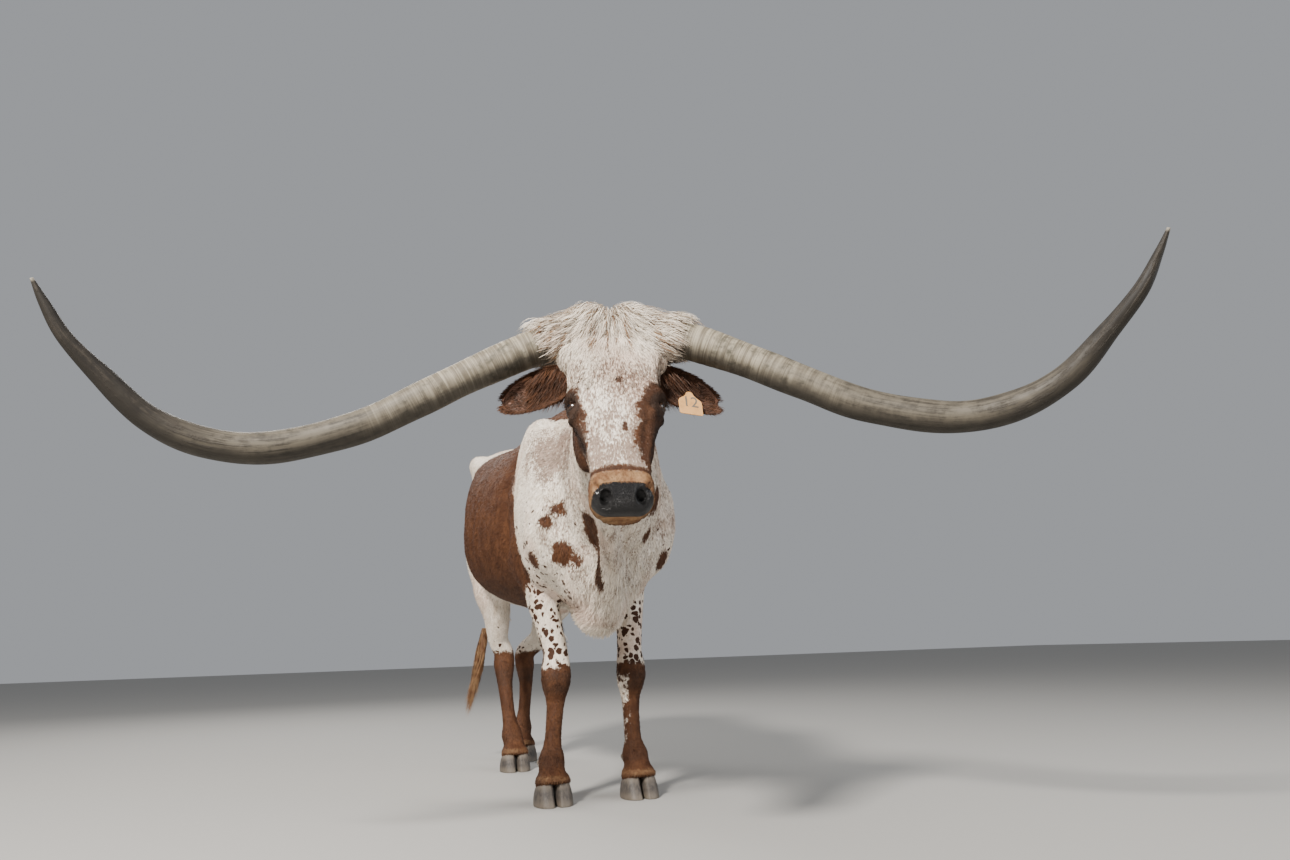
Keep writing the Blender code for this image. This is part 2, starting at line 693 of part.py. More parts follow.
def tag(sign, ear_obj, cutters, parts):
    """The ear tag: a plate in front of the ear, and a button behind it with a pin through to the plate."""
    finish = material("tag_tan", TAG_TAN, 0.5)
    lean = Matrix.Rotation(sign * math.atan(EAR_SWEEP), 4, "Z")
    frame = head_matrix() @ Matrix.Translation(ear_point(sign, 0.54, -0.30, 0)) @ lean
    half = TAG_WIDTH / 2
    outline = [(-0.008, 0.012), (-0.013, -0.002), (-half, -0.018), (-half, -TAG_HEIGHT)]
    outline += [(-x, z) for x, z in reversed(outline)]
    for name, grow in (("tag_plate", 0), ("tag_clear", 0.0015)):
        bm = bmesh.new()
        middle = Vector((0, -TAG_HEIGHT / 2))
        wide = [(x * (1 + grow / half), middle.y + (z - middle.y) * (1 + grow / half)) for x, z in outline]
        depths = (-TAG_CLEAR + grow, -TAG_CLEAR - TAG_THICK - grow)
        add_rings(bm, [[frame @ Vector((x, y, z)) for x, z in wide] for y in depths])
        plate = add_object(name, bm, finish, parts)
    combine(ear_obj, [plate], "DIFFERENCE", cutters, "MANIFOLD")
    front, back = -TAG_CLEAR + GAP, TAG_BACK
    pin = disc("tag_button", frame, (front + back) / 2, (PIN_RADIUS,) * 2, back - front, 12, finish, parts)
    button = disc("button", frame, back, (0.014, 0.012), 0.004, 16, finish, parts)
    combine(pin, [button], "UNION", cutters)
    hole = disc("pin_hole", frame, 0, (PIN_RADIUS + GAP,) * 2, 0.08, 12, None, parts)
    combine(ear_obj, [hole], "DIFFERENCE", cutters)


def lock(name, points, out, width, thick, collection):
    """A flat, tapered lock along a path, its broad side facing out."""
    last = len(points) - 1
    bm = bmesh.new()
    rings = []
    for index, point in enumerate(points):
        share = index / last
        tangent = (points[min(index + 1, last)] - points[max(index - 1, 0)]).normalized()
        across = tangent.cross(out).normalized()
        face = across.cross(tangent)
        swell = max(0.08, 1 - max(0, share - LOCK_FULL) ** 2 / (1 - LOCK_FULL) ** 2)
        half, deep = across * width / 2 * swell, face * thick / 2 * swell**0.5
        rings.append([point + half, point + deep, point - half])
    add_rings(bm, rings)
    return add_object(name, bm, None, collection)


def poll_surface(polar, turn, lift):
    """A point over the poll: polar degrees from its top, turned round it, in head coordinates."""
    polar = math.radians(polar)
    x = POLL_RADII.x * math.sin(polar) * math.cos(turn)
    y = POLL_RADII.y * math.sin(polar) * math.sin(turn)
    place = Vector((x, y, POLL_RADII.z * math.cos(polar)))
    out = Vector((x / POLL_RADII.x**2, y / POLL_RADII.y**2, place.z / POLL_RADII.z**2)).normalized()
    return POLL_CENTRE + place + out * lift, out


def poll_locks(rng, collection):
    """Long hair that parts at a whorl on the poll and falls outwards over the horns, brow and nape."""
    head = head_matrix()
    made = []
    for tier, (polar, count, length) in enumerate(POLL_TIERS):
        for index in range(count):
            turn = 2 * math.pi * (index + 0.5 * (tier % 2) + rng.uniform(-0.25, 0.25)) / count
            side, ahead = abs(math.cos(turn)), max(0, -math.sin(turn))
            behind = max(0, math.sin(turn))
            root, out = poll_surface(polar + rng.uniform(-5, 5), turn, -0.012)
            on, _ = poll_surface(polar + 22, turn, -0.012)
            way = (on - root).normalized()
            way.z *= 1 - 0.75 * side
            way.normalize()
            reach = length * rng.uniform(0.85, 1.15) * (1 + 0.25 * side**3 - 0.35 * behind)
            sag = 0.05 + 0.30 * ahead
            points = []
            for step in range(5):
                t = step / 4
                lift = 0.034 * math.sin(math.pi * min(1, 0.12 + 0.75 * t)) + 0.010 * side
                point = root + way * reach * t + out * lift * (t > 0)
                point.z -= sag * reach * t * t
                points.append(head @ point)
            broad = POLL_LOCK_WIDTH * rng.uniform(0.8, 1.15)
            made.append(lock("lock", points, head.to_3x3() @ out, broad, LOCK_THICK, collection))
    return made


def ear_locks(sign, rng, collection):
    """Long hair that hangs from an ear's upper edge, out of its cup and from its lower edge."""
    head = head_matrix()
    made = []
    for index in range(EAR_LOCKS):
        low = index % 2
        u = 0.38 + 0.54 * index / (EAR_LOCKS - 1)
        v = (-0.78 if low else 0.55) * (1 - 0.3 * u)
        root = ear_point(sign, u, v, 0)
        way = Vector((sign * (0.35 + 0.5 * u), -0.30 if not low else -0.05, -0.95)).normalized()
        length = (0.045 if low else 0.060) * rng.uniform(0.85, 1.15) * (1.1 - 0.35 * u)
        points = []
        for step in range(4):
            t = step / 3
            point = root - way * 0.002 + way * length * t
            point.y += -0.010 * math.sin(math.pi * t) * (1 - low)
            points.append(head @ point)
        made.append(lock("lock", points, head.to_3x3() @ Vector((0, -1, 0)), 0.030, 0.008, collection))
    return made


def switch_locks(rng, collection):
    """The switch: locks that hang round a short core, staggered down it."""
    top = Vector(TAIL_PATH[-1][:3])
    made = []
    for index in range(SWITCH_LOCKS):
        level = index / SWITCH_LOCKS
        turn = index * 2.4
        out = Vector((math.cos(turn), math.sin(turn), 0))
        root = top + Vector((-0.02 * level, 0, -0.02 - 0.14 * level)) + out * 0.006
        length = (SWITCH_LENGTH - 0.02 - 0.14 * level) * rng.uniform(0.80, 1.0)
        spread = 0.030 * rng.uniform(0.7, 1.2)
        points = []
        for step in range(6):
            t = step / 5
            point = root + out * spread * math.sin(math.pi * min(1, 0.1 + t * 0.9)) * (1 if t else 0)
            point += Vector((-0.045 * t, 0.006 * math.sin(3 * t + index), -length * t))
            points.append(point)
        made.append(lock("lock", points, out, 0.034 * rng.uniform(0.8, 1.2), LOCK_THICK, collection))
    return made


def thin(obj, ratio):
    """Merges the small triangles that a union of locks leaves."""
    modifier = obj.modifiers.new("Thin", "DECIMATE")
    modifier.ratio = ratio
    modifier.use_collapse_triangulate = True
    apply_modifiers(obj)
    keep_largest(obj)


def inflated(obj, amount, collection):
    """A copy of an object that stands a little outside it, to cut its neighbours clear."""
    copy = obj.copy()
    copy.data = obj.data.copy()
    collection.objects.link(copy)
    swell = copy.modifiers.new("Swell", "DISPLACE")
    swell.strength = amount
    swell.mid_level = 0
    apply_modifiers(copy)
    return copy


def horn_path(sign):
    """Rows along a horn in the head's own turned, level frame: out, down, out again and up to the tip."""
    rows = (
        (0.060, 0.010, -0.012, 0.0520),
        (0.140, 0.000, -0.014, 0.0530),
        (0.225, -0.016, -0.031, 0.0520),
        (0.380, -0.045, -0.103, 0.0470),
        (0.520, -0.078, -0.180, 0.0458),
        (0.670, -0.115, -0.258, 0.0440),
        (0.860, -0.175, -0.313, 0.0415),
        (1.000, -0.233, -0.306, 0.0385),
        (1.110, -0.300, -0.255, 0.0325),
        (1.190, -0.372, -0.165, 0.0245),
        (1.245, -0.432, -0.090, 0.0175),
        (1.278, -0.468, -0.018, 0.0110),
        (1.298, -0.494, 0.036, 0.0040),
    )
    level = Matrix.Translation(HEAD_PLACE) @ Matrix.Rotation(HORN_YAW, 4, "Z")
    found = []
    for s, y, z, radius in rows:
        centre = level @ Vector((sign * s, y, z - (RIGHT_HORN_DROOP * s if sign < 0 else 0)))
        found.append((*centre, radius, radius, radius, 2.0))
    return found


def horn(name, sign, grow, finish, collection):
    """A horn, made fatter by grow for the socket that it sits in."""
    rows = [(*row[:3], row[3] + grow, row[4] + grow, row[5] + grow, row[6]) for row in horn_path(sign)]
    inward = (Vector(rows[0][:3]) - Vector(rows[1][:3])).normalized() * 2 * grow
    rows[0] = (*(Vector(rows[0][:3]) + inward), *rows[0][3:])
    bm = bmesh.new()
    loft(bm, rows, Vector((0, 0, 1)), Vector((0, -1, 0)), steps=2, sides=HORN_SIDES)
    return add_object(name, bm, finish, collection)


def eye(name, sign, grow, finish, collection):
    """An eyeball, or the socket round it."""
    bm = bmesh.new()
    centre = Vector((sign * EYE_PLACE.x, EYE_PLACE.y, EYE_PLACE.z))
    matrix = head_matrix() @ Matrix.Translation(centre)
    bmesh.ops.create_icosphere(bm, subdivisions=2, radius=EYE_RADIUS + grow, matrix=matrix)
    return add_object(name, bm, finish, collection)


def ear_point(sign, u, v, lift):
    """A point on an ear: u runs from root to tip, v across it, lift out of its back."""
    if u < EAR_BROADEST:
        width = EAR_WIDTH * (0.40 + 0.60 * math.sin(math.pi / 2 * u / EAR_BROADEST))
    else:
        width = EAR_WIDTH * (1 - 0.985 * ((u - EAR_BROADEST) / (1 - EAR_BROADEST)) ** 2.4) ** 0.5
    cup = (0.048 if v > 0 else 0.024) * (1 - 0.75 * u)
    out = EAR_LENGTH * u
    droop = -0.08 * out - 0.08 * out * u
    back = EAR_SWEEP * out
    across = width * v / 2
    x = EAR_ROOT.x + out
    y = EAR_ROOT.y + back - cup * v * v + lift
    z = EAR_ROOT.z + droop + across
    return Vector((sign * x, y, z))


def ear(name, sign, finish, collection):
    """A cupped ear, open to the front."""
    along, over = 10, 6
    place = head_matrix()
    bm = bmesh.new()
    sheets = []
    for lift in (-EAR_THICK / 2, EAR_THICK / 2):
        shares = [1 - (1 - i / along) ** 1.5 for i in range(along + 1)]
        rows = [[ear_point(sign, u, 2 * j / over - 1, lift) for j in range(over + 1)] for u in shares]
        sheets.append([[bm.verts.new(place @ point) for point in row] for row in rows])
    front, back = sheets
    for i in range(along):
        for j in range(over):
            for sheet in sheets:
                a, b, c, d = sheet[i][j], sheet[i + 1][j], sheet[i + 1][j + 1], sheet[i][j + 1]
                bm.faces.new((a, b, c))
                bm.faces.new((a, c, d))
    rim = [(i, 0) for i in range(along)] + [(along, j) for j in range(over)]
    rim += [(i, over) for i in range(along, 0, -1)] + [(0, j) for j in range(over, 0, -1)]
    for (i, j), (k, m) in zip(rim, rim[1:] + rim[:1]):
        bm.faces.new((front[i][j], front[k][m], back[k][m]))
        bm.faces.new((front[i][j], back[k][m], back[i][j]))
    return add_object(name, bm, finish, collection)


def claw_ring(share, x, y, sign, plane):
    """A ring of one claw: share 0 is the sole and 1 the coronet, sign the side away from the cleft."""
    centre, normal = plane
    points = []
    for index in range(14):
        turn = 2 * math.pi * index / 14
        c, s = math.cos(turn), math.sin(turn)
        across = CLAW_WIDTH / 2 * (1 + c)
        if c < 0:
            across = CLAW_WIDTH / 2 * (1 - abs(c) ** 0.45)
        length = CLAW_LENGTH / 2 * math.copysign(abs(s) ** 0.85, s)
        toe = max(0, s) ** 2 * 0.012
        sole = Vector((x + sign * (CLEFT / 2 + across - toe * 0.6), y - 0.006 - length - toe, 0))
        top = Vector((x + sign * (CLEFT / 2 + across * 0.86), y + 0.012 - length * 0.80, 0))
        top.z = centre.z - normal.y * (top.y - centre.y) / normal.z - GAP
        bulge = 0.004 * math.sin(math.pi * share)
        point = sole.lerp(top, share)
        point.x += sign * bulge * (1 + c) / 2
        points.append(point)
    return points


def claws(collection):
    """Eight claws, two to a foot, flat on the floor."""
    finish = material("claw_grey", HOOF_GREY, 0.45)
    for side, sign in SIDES:
        for end, x, y in feet_of(side):
            plane = coronet_plane(x, y)
            for where, outward in (("outer", sign), ("inner", -sign)):
                bm = bmesh.new()
                add_rings(bm, [claw_ring(share, x, y, outward, plane) for share in (0, 0.12, 0.5, 1)])
                add_object(f"claw_{end}_{side}_{where}", bm, finish, collection)


def switch(rng, cutters, parts):
    """The switch of the tail: a short core under its locks."""
    x, y, z = TAIL_PATH[-1][:3]
    rows = (
        (x, y, z + SWITCH_CUT - GAP / 2, 0.016, 0.015, 0.016, 2.0),
        (x - 0.006, y, z - 0.04, 0.022, 0.020, 0.020, 2.0),
        (x - 0.018, y, z - 0.13, 0.020, 0.018, 0.018, 2.0),
        (x - 0.026, y, z - 0.19, 0.008, 0.008, 0.008, 2.0),
    )
    bm = bmesh.new()
    loft(bm, rows, Vector((1, 0, 0)), Vector((0, -1, 0)), steps=2, sides=10, along=Vector((0, 0, -1)))
    core = add_object("tail_switch", bm, material("hair_tan", HAIR_TAN, 0.8), parts)
    combine(core, switch_locks(rng, parts), "UNION", cutters, "MANIFOLD")
    thin(core, SWITCH_THIN)


def centre_on_floor(parts):
    """Moves every part so that the origin is on the floor under the middle of the whole."""
    bpy.context.view_layer.update()
    corners = np.array([obj.matrix_world @ v.co for obj in parts.objects for v in obj.data.vertices])
    low, high = corners.min(axis=0), corners.max(axis=0)
    shift = Vector((-(low[0] + high[0]) / 2, -(low[1] + high[1]) / 2, -low[2]))
    for obj in parts.objects:
        obj.data.transform(Matrix.Translation(shift))


def main():
    """Models the whole animal."""
    for obj in list(bpy.data.objects):
        bpy.data.objects.remove(obj)
    parts = bpy.data.collections.new("texas_longhorn")
    cutters = bpy.data.collections.new("cutters")
    bpy.context.scene.collection.children.link(parts)
    bpy.context.scene.collection.children.link(cutters)
    flesh = part_body(fuse_body(parts), cutters, parts)
    ivory = material("horn_ivory", HORN_IVORY, 0.4)
    dark = material("eye_black", EYE_BLACK, 0.08)
    brown = material("hide_dark", HIDE_DARK, 0.8)
    grey = material("claw_grey", HOOF_GREY, 0.45)
    face = lids(parts)
    combine(flesh["head"], face, "UNION", cutters)
    sockets = face_cutters(parts)
    rng = random.Random(11)
    clear = []
    for side, sign in SIDES:
        horn(f"horn_{side}", sign, 0, ivory, parts)
        clear.append(horn("socket", sign, LOCK_CLEAR, None, parts))
        sockets.append(horn("socket", sign, GAP, None, parts))
        eye(f"eye_{side}", sign, 0, dark, parts)
        sockets.append(eye("socket", sign, GAP, None, parts))
        ear_obj = ear(f"ear_{side}", sign, brown, parts)
        sockets.append(inflated(ear_obj, 2 * GAP, parts))
        clear.append(inflated(ear_obj, LOCK_CLEAR, parts))
        combine(ear_obj, ear_locks(sign, rng, parts), "UNION", cutters, "MANIFOLD")
        if side == "left":
            tag(sign, ear_obj, cutters, parts)
        for end, x, y in feet_of(side):
            holes = []
            for where, away in (("outer", sign), ("inner", -sign)):
                place = (x + away * 0.026, y + 0.076)
                dewclaw(f"dewclaw_{end}_{side}_{where}", *place, 0, grey, parts)
                holes.append(dewclaw("socket", *place, GAP, None, parts))
            combine(flesh[f"{end}leg_{side}_lower"], holes, "DIFFERENCE", cutters)
    combine(flesh["head"], sockets, "DIFFERENCE", cutters, "MANIFOLD")
    combine(flesh["poll"], poll_locks(rng, parts), "UNION", cutters, "MANIFOLD")
    thin(flesh["poll"], POLL_THIN)
    clear += [inflated(flesh[name], LOCK_CLEAR, parts) for name in ("head", "neck")]
    combine(flesh["poll"], clear, "DIFFERENCE", cutters, "MANIFOLD")
    flesh["poll"].data.materials.clear()
    flesh["poll"].data.materials.append(material("hair_cream", HAIR_CREAM, 0.8))
    claws(parts)
    switch(rng, cutters, parts)
    centre_on_floor(parts)


if __name__ == "__main__":
    main()
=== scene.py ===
"""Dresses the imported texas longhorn: one hide with its markings, a coat of tufts, long hair on the poll, ears
and tail, ringed horns, wet eyes, cloven feet and a plain ear tag, on a pale floor in soft light."""

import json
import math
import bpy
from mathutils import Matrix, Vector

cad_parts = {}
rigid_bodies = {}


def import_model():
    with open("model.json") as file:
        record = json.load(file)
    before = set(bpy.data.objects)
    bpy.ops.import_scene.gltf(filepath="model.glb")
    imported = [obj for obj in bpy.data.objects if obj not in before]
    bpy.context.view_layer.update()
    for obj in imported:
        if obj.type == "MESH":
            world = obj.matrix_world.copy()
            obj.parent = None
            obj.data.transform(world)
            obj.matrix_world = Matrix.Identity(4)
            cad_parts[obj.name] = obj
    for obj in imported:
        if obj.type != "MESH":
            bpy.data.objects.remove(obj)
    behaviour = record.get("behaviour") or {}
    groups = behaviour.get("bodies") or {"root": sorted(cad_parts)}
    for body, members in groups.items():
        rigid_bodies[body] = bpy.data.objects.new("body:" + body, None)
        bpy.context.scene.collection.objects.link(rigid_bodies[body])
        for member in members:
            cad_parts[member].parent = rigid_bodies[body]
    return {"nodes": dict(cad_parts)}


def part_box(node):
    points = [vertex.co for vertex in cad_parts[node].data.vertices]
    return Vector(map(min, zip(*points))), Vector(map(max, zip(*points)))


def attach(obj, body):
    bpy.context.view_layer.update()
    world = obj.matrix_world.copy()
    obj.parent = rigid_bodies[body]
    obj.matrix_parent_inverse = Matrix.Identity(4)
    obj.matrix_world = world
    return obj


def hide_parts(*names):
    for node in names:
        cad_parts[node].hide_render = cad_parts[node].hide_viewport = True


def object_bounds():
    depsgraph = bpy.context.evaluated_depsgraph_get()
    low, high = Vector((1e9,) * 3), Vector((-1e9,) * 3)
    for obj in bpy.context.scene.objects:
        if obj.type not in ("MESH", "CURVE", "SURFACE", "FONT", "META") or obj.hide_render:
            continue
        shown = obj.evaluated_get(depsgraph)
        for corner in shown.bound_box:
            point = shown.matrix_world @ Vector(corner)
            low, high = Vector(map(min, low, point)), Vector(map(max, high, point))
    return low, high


bl_info = {
    "name": "Texas Longhorn",
    "version": (1, 0, 0),
    "blender": (4, 5, 0),
    "location": "View3D > Sidebar > Longhorn",
    "description": "Hide, coat, horns, eyes, feet and ear tag over the packed animal",
    "category": "Object",
}

import bmesh
import bpy
import numpy as np
from bpy.props import FloatProperty, FloatVectorProperty, IntProperty, PointerProperty
from mathutils import Matrix, Vector
from mathutils.bvhtree import BVHTree

for startup_object in list(bpy.data.objects):
    bpy.data.objects.remove(startup_object)
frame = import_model()
CAD_BOX = [list(corner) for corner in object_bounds()]

SIDES = (("left", 1), ("right", -1))
LIMBS = [(end, side) for end in ("fore", "hind") for side, _ in SIDES]
LEGS = [f"{end}leg_{side}_{half}" for end, side in LIMBS for half in ("upper", "lower")]
FLESH = ["torso", "neck", "head", "tail", *LEGS]
CLAWS = [f"claw_{end}_{side}_{at}" for end, side in LIMBS for at in ("inner", "outer")]
DEWCLAWS = [name.replace("claw", "dewclaw") for name in CLAWS]

HIDE_TRIANGLES = 182000
MERGE_GAP = 1e-5
SPOT_CELLS = 40.0
NOSE_CELLS = 300.0
HAIRS_PER_LOCK = 14
POLL_HAIR_POINTS = 6
EAR_CUP_HAIRS, EAR_RIM_HAIRS, EAR_SHORT_HAIRS = 1500, 2600, 5200
UPPER_LASHES, LOWER_LASHES = 80, 30
LID_POINTS = 48
SWITCH_HAIRS, SWITCH_LOCKS, SWITCH_POINTS = 1700, 15, 9
CAMERA_OFFSET, CAMERA_HEIGHT = (-0.92, -3.144), 0.515
CAMERA_AIM = (-20, 14.3, -1.9)

EYE_PLACE = Vector((0.110, -0.002, -0.253))
EYE_RADIUS = 0.021
HEAD_TURN = Matrix.Rotation(math.radians(-12.5), 4, "Z") @ Matrix.Rotation(math.radians(-20), 4, "X")
HORN_YAW = math.radians(-20)
RIGHT_HORN_DROOP = 0.024
HORN_SIDES = 56
HORN_STEPS = 18
WHORL = (-0.004, -0.020, 0.092)
POLL_CENTRE = (0, 0.030, -0.014)
POLL_RADII = (0.178, 0.078, 0.104)
EAR_ROOT = Vector((0.098, 0.050, -0.135))
EAR_LENGTH = 0.205
EAR_WIDTH = 0.120
EAR_SWEEP = 0.25
EAR_BROADEST = 0.42
HORN_ROWS = (
    (0.060, 0.010, -0.012, 0.0520),
    (0.140, 0.000, -0.014, 0.0530),
    (0.225, -0.016, -0.031, 0.0520),
    (0.380, -0.045, -0.103, 0.0470),
    (0.520, -0.078, -0.180, 0.0458),
    (0.670, -0.115, -0.258, 0.0440),
    (0.860, -0.175, -0.313, 0.0415),
    (1.000, -0.233, -0.306, 0.0385),
    (1.110, -0.300, -0.255, 0.0325),
    (1.190, -0.372, -0.165, 0.0245),
    (1.245, -0.432, -0.090, 0.0175),
    (1.278, -0.468, -0.018, 0.0110),
    (1.298, -0.494, 0.036, 0.0040),
)


def middle(node):
    """The middle of a node's box."""
    low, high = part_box(node)
    return (low + high) / 2


HEAD_PLACE = middle("eye_left") - HEAD_TURN.to_3x3() @ EYE_PLACE
HEAD = Matrix.Translation(HEAD_PLACE) @ HEAD_TURN
SHIFT = HEAD_PLACE - Vector((-0.208, -0.985, 1.375))


def length_setting(name, description, default):
    """A length that a user may change."""
    return FloatProperty(name=name, description=description, default=default, unit="LENGTH")


def colour_setting(name, description, default):
    """A colour that a user may change."""
    return FloatVectorProperty(name=name, description=description, default=default, subtype="COLOR", size=3)


class LonghornSizes(bpy.types.PropertyGroup):
    """Sizes of the coat, the long hair and the horns."""

    coat_depth: length_setting("Coat Depth", "How far the hide lies inside the body's outline", 0.0035)
    skin_voxel: length_setting("Hide Fineness", "Size of the cells that fuse the hide", 0.0042)
    tuft_length: length_setting("Tuft Length", "Length of a tuft on the barrel", 0.016)
    tuft_width: length_setting("Tuft Width", "Width of a tuft on the barrel", 0.0022)
    tufts: IntProperty(name="Tufts", description="Tufts in each large piece", default=54000, min=100)
    poll_strands: IntProperty(name="Poll Strands", description="Long hairs on the poll", default=21000)
    ring_depth: length_setting("Ring Depth", "Depth of the growth rings at a horn's base", 0.0005)


class LonghornColours(bpy.types.PropertyGroup):
    """Colours of the hide, horns, feet and tag."""

    cream: colour_setting("Cream", "White hair", (0.86, 0.79, 0.69))
    blush: colour_setting("Blush", "White hair with the skin showing", (0.70, 0.53, 0.44))
    red: colour_setting("Red", "Red-brown hair", (0.084, 0.031, 0.0125))
    dark: colour_setting("Dark", "Dark brown hair", (0.034, 0.018, 0.011))
    tan: colour_setting("Tan", "Hair round the muzzle and in the tail", (0.29, 0.170, 0.082))
    nose: colour_setting("Nose", "Bare skin of the nose", (0.004, 0.0036, 0.0038))
    ivory: colour_setting("Ivory", "Horn at its base", (0.34, 0.298, 0.222))
    horn_dark: colour_setting("Horn Dark", "Horn near its tip", (0.014, 0.0115, 0.009))
    claw: colour_setting("Claw", "Wall of the feet", (0.088, 0.072, 0.058))
    tag: colour_setting("Tag", "Plastic of the ear tag", (0.70, 0.37, 0.135))


def sizes():
    """The sizes set in the sidebar."""
    return bpy.context.scene.longhorn_sizes


def colour(name):
    """A colour set in the sidebar, with its alpha."""
    return (*getattr(bpy.context.scene.longhorn_colours, name), 1.0)


def dimmed(shade, share):
    """A colour at a share of its strength."""
    return (*(share * part for part in shade[:3]), 1)


class Wire:
    """A node's output, whose sums add Math nodes."""

    def __init__(self, finish, socket):
        self.finish = finish
        self.socket = socket

    def math(self, operation, first, second):
        return self.finish.node("ShaderNodeMath", {"operation": operation}, {0: first, 1: second})

    def __add__(self, other):
        return self.math("ADD", self, other)

    def __sub__(self, other):
        return self.math("SUBTRACT", self, other)

    def __rsub__(self, other):
        return self.math("SUBTRACT", other, self)

    def __mul__(self, other):
        return self.math("MULTIPLY", self, other)

    __radd__ = __add__
    __rmul__ = __mul__

    def step(self, low, high):
        """0 below low and 1 above high, with a smooth rise between them."""
        return self.finish.node(
            "ShaderNodeMapRange",
            {"interpolation_type": "SMOOTHSTEP"},
            {"Value": self, "From Min": low, "From Max": high, "To Min": 0.0, "To Max": 1.0},
        )


class Finish:
    """A material whose nodes feed one Principled shader."""

    def __init__(self, name, roughness):
        self.material = bpy.data.materials.new(name)
        self.material.use_nodes = True
        self.tree = self.material.node_tree
        self.tree.nodes.clear()
        self.shader = self.tree.nodes.new("ShaderNodeBsdfPrincipled")
        self.shader.inputs["Roughness"].default_value = roughness
        output = self.tree.nodes.new("ShaderNodeOutputMaterial")
        self.tree.links.new(self.shader.outputs[0], output.inputs["Surface"])
        self.where = self.node("ShaderNodeTexCoord", output="Object")

    def node(self, kind, settings=None, inputs=None, output=0):
        """A node of one kind: its settings are set first, then its sockets."""
        made = self.tree.nodes.new(kind)
        for key, value in (settings or {}).items():
            if key == "stops":
                ramp = made.color_ramp
                for element in list(ramp.elements)[1:]:
                    ramp.elements.remove(element)
                ramp.elements[0].position, ramp.elements[0].color = value[0]
                for position, shade in value[1:]:
                    ramp.elements.new(position).color = shade
            else:
                setattr(made, key, value)
        for key, value in (inputs or {}).items():
            if isinstance(value, Wire):
                self.tree.links.new(value.socket, made.inputs[key])
            else:
                made.inputs[key].default_value = value
        return Wire(self, made.outputs[output])

    def feed(self, socket, value):
        """Sets or links one of the shader's sockets."""
        if isinstance(value, Wire):
            self.tree.links.new(value.socket, self.shader.inputs[socket])
        else:
            self.shader.inputs[socket].default_value = value

    def mix(self, share, low, high):
        """A blend of two colours."""
        return self.node("ShaderNodeMix", {"data_type": "RGBA"}, {0: share, 6: low, 7: high}, 2)

    def layered(self, base, *layers):
        """A colour under others, each laid over it by its share."""
        for share, shade in layers:
            base = self.mix(share, base, shade)
        return base

    def scaled(self, vector, scale):
        """Coordinates stretched along each axis."""
        return self.node("ShaderNodeMapping", None, {"Vector": vector, "Scale": scale})

    def noise(self, vector, scale, detail=3.0, roughness=0.55):
        """Fractal noise from 0 to 1."""
        inputs = {"Vector": vector, "Scale": scale, "Detail": detail, "Roughness": roughness}
        return self.node("ShaderNodeTexNoise", None, inputs)

    def attribute(self, name):
        """The red, green, blue and alpha of a mesh attribute."""
        found = self.node("ShaderNodeAttribute", {"attribute_name": name}, None, "Color")
        alpha = self.node("ShaderNodeAttribute", {"attribute_name": name}, None, "Alpha")
        parts = [self.node("ShaderNodeSeparateColor", None, {0: found}, channel) for channel in range(3)]
        return (*parts, alpha)

    def bump(self, height, strength, distance):
        """A Bump node that feeds the shader's normal."""
        inputs = {"Strength": strength, "Distance": distance, "Height": height}
        self.feed("Normal", self.node("ShaderNodeBump", None, inputs))


def apply_modifiers(obj):
    """Applies every modifier on the object."""
    bpy.context.view_layer.update()
    mesh = bpy.data.meshes.new_from_object(obj.evaluated_get(bpy.context.evaluated_depsgraph_get()))
    obj.modifiers.clear()
    old = obj.data
    obj.data = mesh
    bpy.data.meshes.remove(old)


def finished(name, mesh, material, nodes=()):
    """The mesh as a piece of the animal, smooth, on its body, and in place of the nodes named."""
    obj = bpy.data.objects.new(name, mesh)
    bpy.context.scene.collection.objects.link(obj)
    mesh.materials.clear()
    mesh.materials.append(material)
    mesh.shade_smooth()
    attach(obj, "root")
    if nodes:
        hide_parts(*nodes)
    return obj


def mesh_of(bm, name):
    """A bmesh as a mesh, its faces pointing outwards."""
    bmesh.ops.recalc_face_normals(bm, faces=bm.faces)
    mesh = bpy.data.meshes.new(name)
    bm.to_mesh(mesh)
    bm.free()
    return mesh


def points_of(mesh, normals=False):
    """The mesh's points, or their normals, as an array."""
    found = np.empty(len(mesh.vertices) * 3)
    (mesh.vertex_normals if normals else mesh.vertices).foreach_get("vector" if normals else "co", found)
    return found.reshape(-1, 3)


def set_points(mesh, points):
    """Moves the mesh's points."""
    mesh.vertices.foreach_set("co", np.ascontiguousarray(points, np.float32).ravel())
    mesh.update()


def set_shares(mesh, name, values):
    """Four numbers at each point of the mesh, for its material."""
    layer = mesh.attributes.new(name, "FLOAT_COLOR", "POINT")
    layer.data.foreach_set("color", np.ascontiguousarray(values, np.float32).ravel())


def carried(points, matrix):
    """Points taken through a matrix."""
    turn = np.array(matrix)
    return points @ turn[:3, :3].T + turn[:3, 3]


def rise(values, low, high):
    """0 below low and 1 above high, with a smooth rise between them."""
    t = np.clip((values - low) / (high - low), 0, 1)
    return t * t * (3 - 2 * t)


def near(points, centre, radii):
    """1 at a centre, falling to 0 at an ellipsoid round it."""
    return 1 - rise(np.linalg.norm((points - np.array(centre)) / radii, axis=1), 0, 1)


def patched(values, points, patches):
    """The values, raised inside each patch: its centre, its radii and its share."""
    for centre, radii, share in patches:
        values = np.maximum(values, near(points, centre, radii) * share)
    return values


def mirrored(points):
    """The points of both sides, laid over one another on the left."""
    return np.stack([np.abs(points[:, 0]), points[:, 1], points[:, 2]], axis=1)


